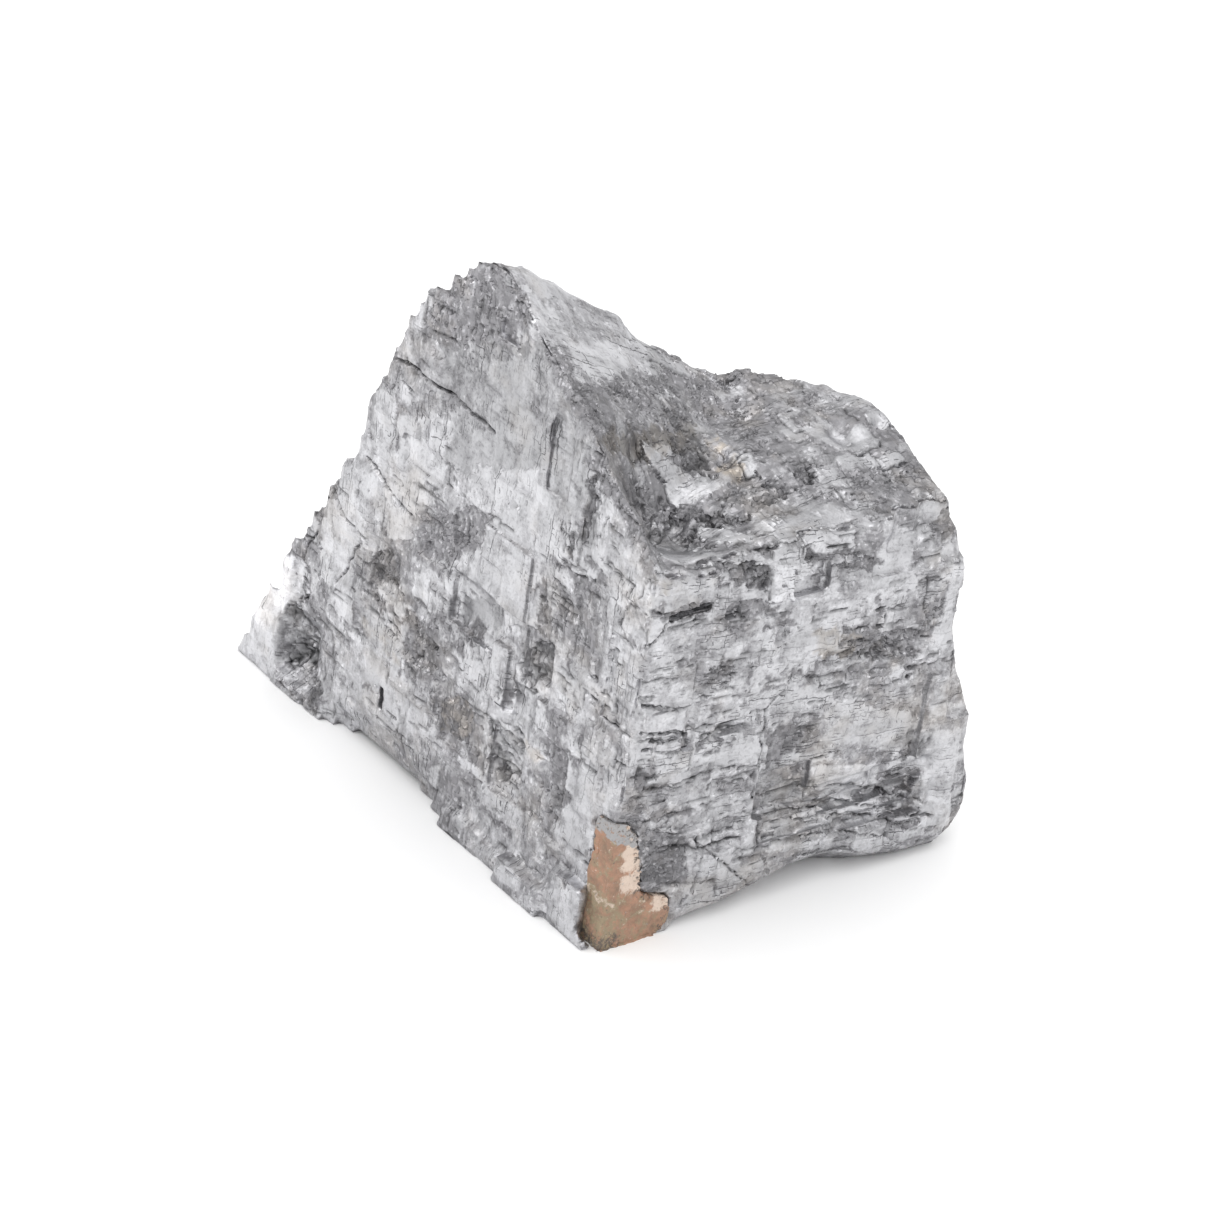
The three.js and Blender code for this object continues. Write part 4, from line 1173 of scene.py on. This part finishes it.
@dataclass
class GalenaLump:
    """The lump of galena: the solid with its fine cleavage steps, cracks and splinters worked in.

    Attributes:
        finish: What it is made of.
        voxel_mm: Fineness of the mesh that the steps are worked into.
        worn_corners: Passes that round the corners of the steps a little.
        worn_broken: The same, on the top and the hidden sides.
        worn_top: More passes, on the top and in the healed pits.
        worn_reach: How far from there the faces are worn too, in millimetres.
        face_depth: The ledges of the two faces lie within this depth, in millimetres.
        top_from: Height from which what faces the front and up is the top, in millimetres.
        faced: How squarely a place has to face a way to be part of that side.
        left_depth: How deep the left face goes at most, and so on for the right face, in millimetres.
        right_below: The right face ends below this height.
        front_edge: How wide the worn strip along the front edge is, and where it starts, in millimetres.
        worn_foot: Depth, height and start of the worn strip at the foot of the left face.
        unworn_foot: What is lower than this stays flat on the floor, in millimetres.
        chipping: How deep the edges are chipped: always, and by the streaks, in millimetres.
        chipped_edges: How much each edge is chipped: the front edge, the left rim and the right rim.
        plain: Tone, stain and grain of what is on no side.
        most_triangles: The mesh is thinned to this, most where nothing happens.
        left: Relief of the left face, and so on for the others. The hidden sides share one.
    """

    finish: GalenaFinish = GalenaFinish()
    voxel_mm: float = 0.18
    worn_corners: int = 4
    worn_broken: int = 80
    worn_top: int = 130
    worn_reach: float = 3.0
    face_depth: float = 1.4
    top_from: float = 32.4
    faced: Ramp = Ramp(0.45, 0.35)
    left_depth: float = 3.5
    right_depth: float = 4.5
    right_below: float = 34.8
    front_edge: Point = (1.1, 12.0)
    worn_foot: tuple[float, float, float] = (0.6, 5.0, 5.0)
    unworn_foot: float = 0.3
    chipping: Point = (0.22, 0.38)
    chipped_edges: tuple[float, float, float] = (0.2, 0.3, 1.0)
    plain: tuple[float, float, float] = (0.72, 0.0, 0.7)
    most_triangles: int = 190_000
    # The sides' usual tones are painted light and shade: the left face is painted lighter and the top darker.
    left: Relief = field(default_factory=lambda: Relief(
        54.0, 52.0, 5, step=(2.4, 1.0), cracks=640, upright=0.35, panes=90, side_tone_with_painted_light=1.08
    ))
    right: Relief = field(default_factory=lambda: Relief(
        40.0, 38.0, 6, slope=0.10, step=(2.8, 0.8), plateaus=800, upright=0.18
    ))
    top: Relief = field(default_factory=lambda: Relief(
        38.0, 34.0, 7, step=(1.2, 1.0), plateaus=1500, cracks=300, upright=0.5, bruises=170, panes=60,
        mottling=0.09, side_tone_with_painted_light=0.88, graininess=0.85, crumbs=0.12,
    ))
    hidden: Relief = field(default_factory=lambda: Relief(
        56.0, 56.0, 8, step=(2.6, 1.4), cracks=260, upright=0.4
    ))

    def build(self) -> bpy.types.Object:
        """Returns the finished lump."""
        self._mark_faces()
        piece = copy_of_solid("galena_mass", "galena_lump")
        apply_modifier(piece, "REMESH", mode="VOXEL", voxel_size=self.voxel_mm * MM)
        apply_modifier(piece, "SMOOTH", factor=0.5, iterations=self.worn_corners)
        self._wear_broken_sides(piece)
        self._work_in_relief(piece)
        self._thin(piece)
        self._store_finds(piece)
        self._store_face_places(piece)
        select_only(piece)
        bpy.ops.object.shade_smooth_by_angle(angle=math.radians(32.0))
        piece.data.materials.append(self.finish.make())
        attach(piece, "root")
        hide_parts("galena_mass")
        return piece

    def _mark_faces(self) -> None:
        """Paints what is seen on each face into its relief."""
        for relief, marks, cracks in (
            (self.left, LEFT_MARKS, LEFT_CRACKS),
            (self.right, RIGHT_MARKS, RIGHT_CRACKS),
            (self.top, TOP_MARKS, ()),
        ):
            for mark in marks:
                relief.mark(mark)
            for crack in cracks:
                relief.crack(crack)

    def _sides(self, places: np.ndarray, normals: np.ndarray) -> list[Side]:
        """Says which side of the lump each vertex is on.

        Args:
            places: Vertices in the corner frame, in millimetres.
            normals: Their normals.

        Returns:
            The left face, the right face, the top, and the three hidden sides.
        """
        x, y, z = places.T
        faced = self.faced.rise(np.abs(normals)).T
        inwards, outwards = (normals < 0).T, (normals > 0).T
        to_left = faced[0] * inwards[0] * (x < self.left_depth)
        to_right = faced[1] * inwards[1] * (y < self.right_depth) * (z < self.right_below)
        behind = [facing * out for facing, out in zip(faced, outwards)]
        clear = np.clip(1.0 - to_left - to_right - np.maximum(behind[0], behind[1]), 0.0, 1.0)
        highest = Ramp(self.top_from, 0.8).rise(z) * clear
        below = np.clip(1.0 - highest, 0.0, 1.0)
        left, right, up = np.eye(3)
        return [
            Side(self.left, -left, to_left, (y, z)),
            Side(self.right, -right, to_right, (x, z)),
            Side(self.top, normals, highest, (x, y)),
            Side(self.hidden, left, behind[0] * below, (y, z)),
            Side(self.hidden, right, behind[1] * below, (x, z)),
            Side(self.hidden, up, behind[2] * below, (x, y)),
        ]

    def _wear_broken_sides(self, piece: bpy.types.Object) -> None:
        """Wears down the steps of the top and the hidden sides, and the edges where the faces meet them."""
        places = corner_places(piece)
        x, y, z = places.T
        left, right = (side.share for side in self._sides(places, vertex_normals(piece))[:2])
        broken = (left + right < 0.5) & (x > self.face_depth) & (y > self.face_depth)
        tree = KDTree(int(broken.sum()))
        for index, place in enumerate(places[broken]):
            tree.insert(place, index)
        tree.balance()
        worn = broken.copy()
        for index in np.flatnonzero(~broken):
            worn[index] = tree.find(places[index])[2] < self.worn_reach
        wide, start = self.front_edge
        front_edge = (x < wide) & (y < wide) & (z > start)
        deep, high, start = self.worn_foot
        foot = (x < deep) & (z < high) & (y > start)
        self._wear(piece, (worn | front_edge | foot) & (z > self.unworn_foot), self.worn_broken)
        healed = np.zeros(len(places), dtype=bool)
        for centre, radius in HEALED_PITS:
            healed |= np.linalg.norm(places - np.array(centre), axis=1) < radius
        self._wear(piece, healed | (broken & (z > self.top_from + 1.2)), self.worn_top)

    def _wear(self, piece: bpy.types.Object, which: np.ndarray, passes: int) -> None:
        """Smooths some of the vertices of a piece.

        Args:
            piece: The piece.
            which: For each vertex, whether it is smoothed.
            passes: How many times.
        """
        group = piece.vertex_groups.new(name="worn")
        group.add(np.flatnonzero(which).tolist(), 1.0, "REPLACE")
        apply_modifier(piece, "SMOOTH", factor=0.5, iterations=passes, vertex_group=group.name)
        piece.vertex_groups.clear()

    def _work_in_relief(self, piece: bpy.types.Object) -> None:
        """Moves the vertices of the lump out and in by the relief of the side that they are on."""
        places = corner_places(piece)
        normals = vertex_normals(piece)
        moved = places.copy()
        sides = self._sides(places, normals)
        for relief, outwards, share, (u, v) in sides:
            moved += (share * relief.read(relief.lift, u, v))[:, None] * outwards
        left, right, top = (side.share for side in sides[:3])
        front, left_rim, right_rim = self.chipped_edges
        on_edges = front * left * right + left_rim * left * top + right_rim * (right * top)
        edge = np.clip(4.0 * on_edges, 0.0, 1.0)
        x, y, z = places.T
        always, streaks = self.chipping
        chipped = np.clip(always + streaks * self.hidden.read(self.hidden.ragged, x + y, z), 0.0, 0.9)
        moved -= (edge * chipped)[:, None] * normals
        move_vertices(piece, moved * MM + np.array(corner_origin()))

    def _thin(self, piece: bpy.types.Object) -> None:
        """Thins the mesh to its budget, and keeps its steps and cracks."""
        triangles = 2 * len(piece.data.polygons)
        apply_modifier(piece, "TRIANGULATE")
        apply_modifier(piece, "DECIMATE", ratio=min(1.0, self.most_triangles / triangles))

    def _store_finds(self, piece: bpy.types.Object) -> None:
        """Stores tone, stain and grain on the vertices, for the material."""
        places = corner_places(piece)
        normals = vertex_normals(piece)
        count = len(places)
        plain = dict(zip(("tone", "stain", "grain"), self.plain))
        found = {name: np.zeros(count) for name in plain}
        total = np.zeros(count)
        for relief, _, share, (u, v) in self._sides(places, normals):
            for name in found:
                found[name] += share * relief.read(getattr(relief, name), u, v)
            total += share
        for name, values in found.items():
            shared = values / np.maximum(total, 1e-6)
            store(piece, name, np.where(total > 1.0, shared, values + (1 - total) * plain[name]))

    def _store_face_places(self, piece: bpy.types.Object) -> None:
        """Stores, for each face of the mesh, its place on the side of the lump that it is part of."""
        mesh = piece.data
        places = corner_places(piece)
        normals = np.empty(len(mesh.polygons) * 3, dtype=np.float32)
        mesh.polygons.foreach_get("normal", normals)
        facing = np.argmax(np.abs(normals.reshape(-1, 3)), axis=1)
        corners = np.empty(len(mesh.loops), dtype=np.int32)
        mesh.loops.foreach_get("vertex_index", corners)
        sizes = np.empty(len(mesh.polygons), dtype=np.int32)
        mesh.polygons.foreach_get("loop_total", sizes)
        facing = np.repeat(facing, sizes)
        x, y, z = places[corners].T
        u = np.where(facing == 0, z, x)
        v = np.where(facing == 1, z + self.right.slope * x, y)
        side = FACE_SPACING_MM * facing
        attribute = mesh.attributes.new("face_mm", "FLOAT_VECTOR", "CORNER")
        attribute.data.foreach_set("vector", np.stack([u, v, side], axis=1).astype(np.float32).ravel())


@dataclass(frozen=True)
class Patches:
    """Ragged patches of a colour.

    Attributes:
        colour: Their colour.
        size: Their size, for a usual one of 1.
        start: Where the noise starts to show them.
        full: Where it shows nothing else.
        more: Name of what is stored on the piece and says where there are more of them, if anything.
    """

    colour: str
    size: float
    start: float
    full: float
    more: str = ""


@dataclass(frozen=True)
class StainedRockFinish:
    """Rock stained by iron: dull and grainy, rust brown with cream feldspar and grey grit.

    Attributes:
        rust: Its main colour.
        patches: What lies over that, from the lowest up: umber, olive grit, flecks and patches of
            cream feldspar, the dark rim, and the dust and the dark flecks of the galena crust.
        patch_mm: Size of a usual patch.
        patches_raised: How much the patches gain where there are more of them.
    """

    name: str = "iron_stained_rock"
    rust: str = "AD8670"
    patches: tuple[Patches, ...] = (
        Patches("8B7361", 1.2, 0.40, 0.64),
        Patches("96876F", 0.7, 0.50, 0.60, "gritty"),
        Patches("D6C3B4", 0.25, 0.62, 0.70),
        Patches("D6C3B4", 0.7, 0.62, 0.74, "cream"),
        Patches("655C54", 0.3, 0.60, 0.70, "rim"),
        Patches("A3A2A3", 0.35, 0.62, 0.70, "crust"),
        Patches("655C54", 0.22, 0.78, 0.86, "crust"),
    )
    roughness: float = 0.82
    patch_mm: float = 1.3
    patches_raised: float = 0.28
    grain_mm: float = 0.30
    bump_mm: float = 0.15
    bump_strength: float = 0.9

    def make(self) -> bpy.types.Material:
        """Returns the material."""
        material, tree, shader = new_material(self.name)
        shader["Roughness"].default_value = self.roughness
        place = add_node(tree, "TexCoord").outputs["Object"]
        mm = add_node(tree, "Mapping", {"Vector": place, "Scale": (1 / MM,) * 3}).outputs[0]
        colour = linear(self.rust)
        for patches in self.patches:
            colour = self._patched(tree, mm, colour, patches)
        tree.links.new(colour, shader["Base Color"])
        fine = {"Vector": mm, "Scale": 1 / self.grain_mm, "Detail": 3.0, "Roughness": 0.6}
        grains = add_node(tree, "TexNoise", fine).outputs["Fac"]
        bumps = {"Height": grains, "Strength": self.bump_strength, "Distance": self.bump_mm * MM}
        tree.links.new(add_node(tree, "Bump", bumps).outputs[0], shader["Normal"])
        return material

    def _patched(self, tree: bpy.types.NodeTree, place: Socket, under: Value, patches: Patches) -> Socket:
        """Lays patches over a colour.

        Args:
            tree: The material's node tree.
            place: Place on the piece, in millimetres.
            under: The colour below.
            patches: The patches.

        Returns:
            The patched colour.
        """
        shift = (place, (patches.size * 31.0,) * 3)
        shifted = add_node(tree, "VectorMath", shift, operation="ADD").outputs[0]
        size = patches.size * self.patch_mm
        ragged = {"Vector": shifted, "Scale": 1 / size, "Detail": 6.0, "Roughness": 0.72}
        noise = add_node(tree, "TexNoise", ragged).outputs["Fac"]
        more = 0.0
        if patches.more:
            more = add_node(tree, "Attribute", attribute_name=patches.more).outputs["Fac"]
        gain = (more, self.patches_raised, noise)
        raised = add_node(tree, "Math", gain, operation="MULTIPLY_ADD").outputs[0]
        share = add_node(tree, "MapRange", (raised, patches.start, patches.full)).outputs[0]
        colours = {0: share, 6: under, 7: linear(patches.colour)}
        return add_node(tree, "Mix", colours, data_type="RGBA").outputs[2]


@dataclass
class StainedRock:
    """The piece of stained rock that is held in the galena at the foot of the front edge.

    Attributes:
        finish: What it is made of.
        voxel_mm: Fineness of its mesh.
        lumps_mm: Height of its lumps and grains.
        sink_mm: How deep its broken face lies in the galena.
        fill_mm: How far it fills the pocket round it.
        capped_from: Height above which galena crusts it and stands level with the faces.
        crusted: How much of it is crusted there.
        gritty: How much of its lower left is grit.
        rimmed: How dark its rim is.
        dark_foot: How dark its foot is, next to the front edge.
        outline: How wide it is on the right face at a few heights: along X and up Z, in millimetres.
        seed: Seed of its lumps.
        lump_sizes: Sizes of the lumps, in millimetres, and their shares.
        cap_fill: How much further it stands out where galena caps it: on its sides, and on its face.
        cream_along: Where its upper right is cream, along X, and cream_up the same up Z.
        band: Height of the cream band at the front edge, its fall along X, and how cream it is.
        band_width: Half its height.
        tip_along: Where its right tip is cream, along X, and tip_up the same up Z.
        crust_up: Where the crust starts at the front edge, and crust_fall how it falls along X.
        grit_along: Where its lower left is gritty, along X, and grit_up the same up Z.
        rim_along: Where its rim is, next to its outline.
        foot_along: Where its dark foot is, along X, and foot_up the same up Z.
    """

    finish: StainedRockFinish = StainedRockFinish()
    voxel_mm: float = 0.13
    lumps_mm: float = 0.16
    sink_mm: float = 0.10
    fill_mm: float = 0.36
    capped_from: float = 9.6
    crusted: float = 0.85
    gritty: float = 0.28
    rimmed: float = 0.4
    dark_foot: float = 0.6
    outline: Points = (
        (5.6, 0.0), (6.5, 1.3), (6.4, 3.2), (3.8, 3.9), (3.1, 4.6), (2.5, 8.6), (1.9, 10.2), (1.0, 11.3)
    )
    seed: int = 21
    lump_sizes: Points = ((1.6, 0.8), (0.7, 0.6), (0.3, 0.5))
    cap_fill: Point = (0.2, 0.16)
    cream_along: Ramp = Ramp(0.9, 0.8)
    cream_up: Ramp = Ramp(4.2, 1.2)
    band: tuple[float, float, float] = (4.6, 0.3, 0.35)
    band_width: Ramp = Ramp(1.0, 1.0)
    tip_along: Ramp = Ramp(4.6, 1.0)
    tip_up: Ramp = Ramp(1.8, 0.8)
    crust_up: Ramp = Ramp(10.1, 0.4)
    crust_fall: float = 0.5
    grit_along: Ramp = Ramp(2.8, 1.2)
    grit_up: Ramp = Ramp(5.4, 0.8)
    rim_along: Ramp = Ramp(-0.35, 0.35)
    foot_along: Ramp = Ramp(3.0, 1.5)
    foot_up: Ramp = Ramp(1.8, 1.0)

    def build(self) -> bpy.types.Object:
        """Returns the finished piece."""
        piece = copy_of_solid("stained_rock", "stained_rock_piece")
        apply_modifier(piece, "REMESH", mode="VOXEL", voxel_size=self.voxel_mm * MM)
        self._roughen(piece)
        self._store_colours(piece)
        select_only(piece)
        bpy.ops.object.shade_smooth_by_angle(angle=math.radians(40.0))
        piece.data.materials.append(self.finish.make())
        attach(piece, "root")
        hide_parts("stained_rock")
        return piece

    def _lumps(self, u: np.ndarray, v: np.ndarray) -> np.ndarray:
        """Returns random lumps, mostly from -1 to 1, at places in metres."""
        rng = np.random.default_rng(self.seed)
        total = np.zeros(u.shape)
        for size, part in self.lump_sizes:
            rows = (v - v.min()) / (size * MM)
            columns = (u - u.min()) / (size * MM)
            shape = (int(rows.max()) + 3, int(columns.max()) + 3)
            total += part * bilinear(rng.uniform(-1.0, 1.0, shape), rows, columns)
        return total

    def _roughen(self, piece: bpy.types.Object) -> None:
        """Fills the pocket round the piece, raggedly, and gives its broken face lumps and grains."""
        places = vertex_places(piece)
        normals = vertex_normals(piece)
        lumps = self._lumps(places[:, 1] + places[:, 0], places[:, 2])
        outer = (normals[:, 0] < -0.5) | (normals[:, 1] < -0.5)
        capped = Ramp(self.capped_from, 0.6).rise(places[:, 2] / MM)
        on_sides, on_face = self.cap_fill
        sides = self.fill_mm + on_sides * capped + 1.6 * self.lumps_mm * lumps
        out = np.where(outer, self.lumps_mm * lumps - self.sink_mm + on_face * capped, sides)
        move_vertices(piece, places + normals * out[:, None] * MM)

    def _store_colours(self, piece: bpy.types.Object) -> None:
        """Stores where the rock is cream or gritty, where galena crusts it, and where its dark rim is."""
        x, _, z = corner_places(piece).T
        high = self.cream_along.rise(x) * self.cream_up.rise(z)
        height, fall, cream = self.band
        band = cream * self.band_width.fall(np.abs(z - height + fall * x))
        tip = self.tip_along.rise(x) * self.tip_up.rise(z)
        store(piece, "cream", np.maximum(np.maximum(high, band), tip))
        store(piece, "crust", self.crusted * self.crust_up.rise(z + self.crust_fall * x))
        store(piece, "gritty", self.gritty * self.grit_along.fall(x) * self.grit_up.fall(z))
        widths, heights = zip(*self.outline)
        rim = self.rimmed * self.rim_along.rise(x - np.interp(z, heights, widths))
        foot = self.dark_foot * self.foot_up.fall(z) * self.foot_along.fall(x)
        store(piece, "rim", np.maximum(rim, foot))


@dataclass(frozen=True)
class AreaLight:
    """A soft box: where it hangs, what it lights, its size and its power."""

    name: str
    place: Vector
    size: Point
    watts: float


@dataclass
class Studio:
    """The pale floor, the soft light and the camera.

    Attributes:
        sensor_mm: Width of the camera's sensor.
        nearest: What is nearer than this is not seen, in metres.
        floor_size: Side of the floor, in metres.
        sky_strength: How bright the even light is.
        aim: What the soft boxes face, in metres.
        lights: The soft boxes.
    """

    sensor_mm: float = 36.0
    nearest: float = 0.01
    floor_size: float = 6.0
    floor_colour: str = "FAFAFA"
    sky_colour: str = "FFFFFF"
    floor_roughness: float = 0.9
    sky_strength: float = 1.0
    aim: Vector = field(default_factory=lambda: Vector((0.0, 0.0, 0.02)))
    lights: tuple[AreaLight, ...] = (
        AreaLight("overhead_softbox", Vector((-0.25, -0.10, 0.90)), (1.6, 1.6), 6.5),
    )

    def build(self) -> None:
        """Makes the floor, the light and the camera, and shows colours as they are."""
        bpy.context.scene.view_settings.view_transform = "Standard"
        self._floor()
        self._sky()
        for light in self.lights:
            self._hang(light)
        self._camera()

    def _floor(self) -> None:
        """Lays the floor that the lump stands on."""
        bpy.ops.object.select_all(action="DESELECT")
        bpy.ops.mesh.primitive_plane_add(size=self.floor_size, location=(0.0, 0.0, CAD_BOX[0][2]))
        floor = bpy.context.object
        floor.name = "floor"
        paper = bpy.data.materials.new("white_background_paper")
        paper.use_nodes = True
        shader = paper.node_tree.nodes["Principled BSDF"]
        shader.inputs["Base Color"].default_value = linear(self.floor_colour)
        shader.inputs["Roughness"].default_value = self.floor_roughness
        floor.data.materials.append(paper)

    def _sky(self) -> None:
        """Surrounds the scene with even white light."""
        world = bpy.data.worlds.new("even_white_light")
        world.use_nodes = True
        background = world.node_tree.nodes["Background"]
        background.inputs["Color"].default_value = linear(self.sky_colour)
        background.inputs["Strength"].default_value = self.sky_strength
        bpy.context.scene.world = world

    def _hang(self, light: AreaLight) -> None:
        """Hangs a soft box so that it faces the lump."""
        lamp = bpy.data.lights.new(light.name, "AREA")
        lamp.shape = "RECTANGLE"
        lamp.size, lamp.size_y = light.size
        lamp.energy = light.watts
        holder = bpy.data.objects.new(light.name, lamp)
        holder.location = light.place
        holder.rotation_euler = (self.aim - light.place).to_track_quat("-Z", "Y").to_euler()
        bpy.context.scene.collection.objects.link(holder)

    def _camera(self) -> None:
        """Sets up the camera, so that the foot of the front edge falls where it should."""
        right, up, forward = (Vector(axis) for axis in VIEW.axes())
        camera = bpy.data.cameras.new("camera")
        camera.sensor_width = self.sensor_mm
        camera.lens = VIEW.focus_px / VIEW.width_px * self.sensor_mm
        camera.clip_start = self.nearest
        holder = bpy.data.objects.new("camera", camera)
        turn = Matrix((right, up, -forward)).transposed().to_4x4()
        place = corner_origin() + Vector(VIEW.eye()) * MM
        holder.matrix_world = Matrix.Translation(place) @ turn
        bpy.context.scene.collection.objects.link(holder)
        bpy.context.scene.camera = holder


def report(piece: bpy.types.Object) -> None:
    """Logs the name, the size and the triangles of a piece."""
    size = ", ".join(f"{side / MM:.1f}" for side in piece.dimensions)
    triangles = sum(len(polygon.vertices) - 2 for polygon in piece.data.polygons)
    LOG.info("%s: %s mm, %d triangles", piece.name, size, triangles)


def main() -> None:
    """Builds the studio and each piece."""
    logging.basicConfig(level=logging.INFO, format="%(name)s: %(message)s")
    Studio().build()
    for maker in (GalenaLump(), StainedRock()):
        report(maker.build())


if __name__ == "__main__":
    main()
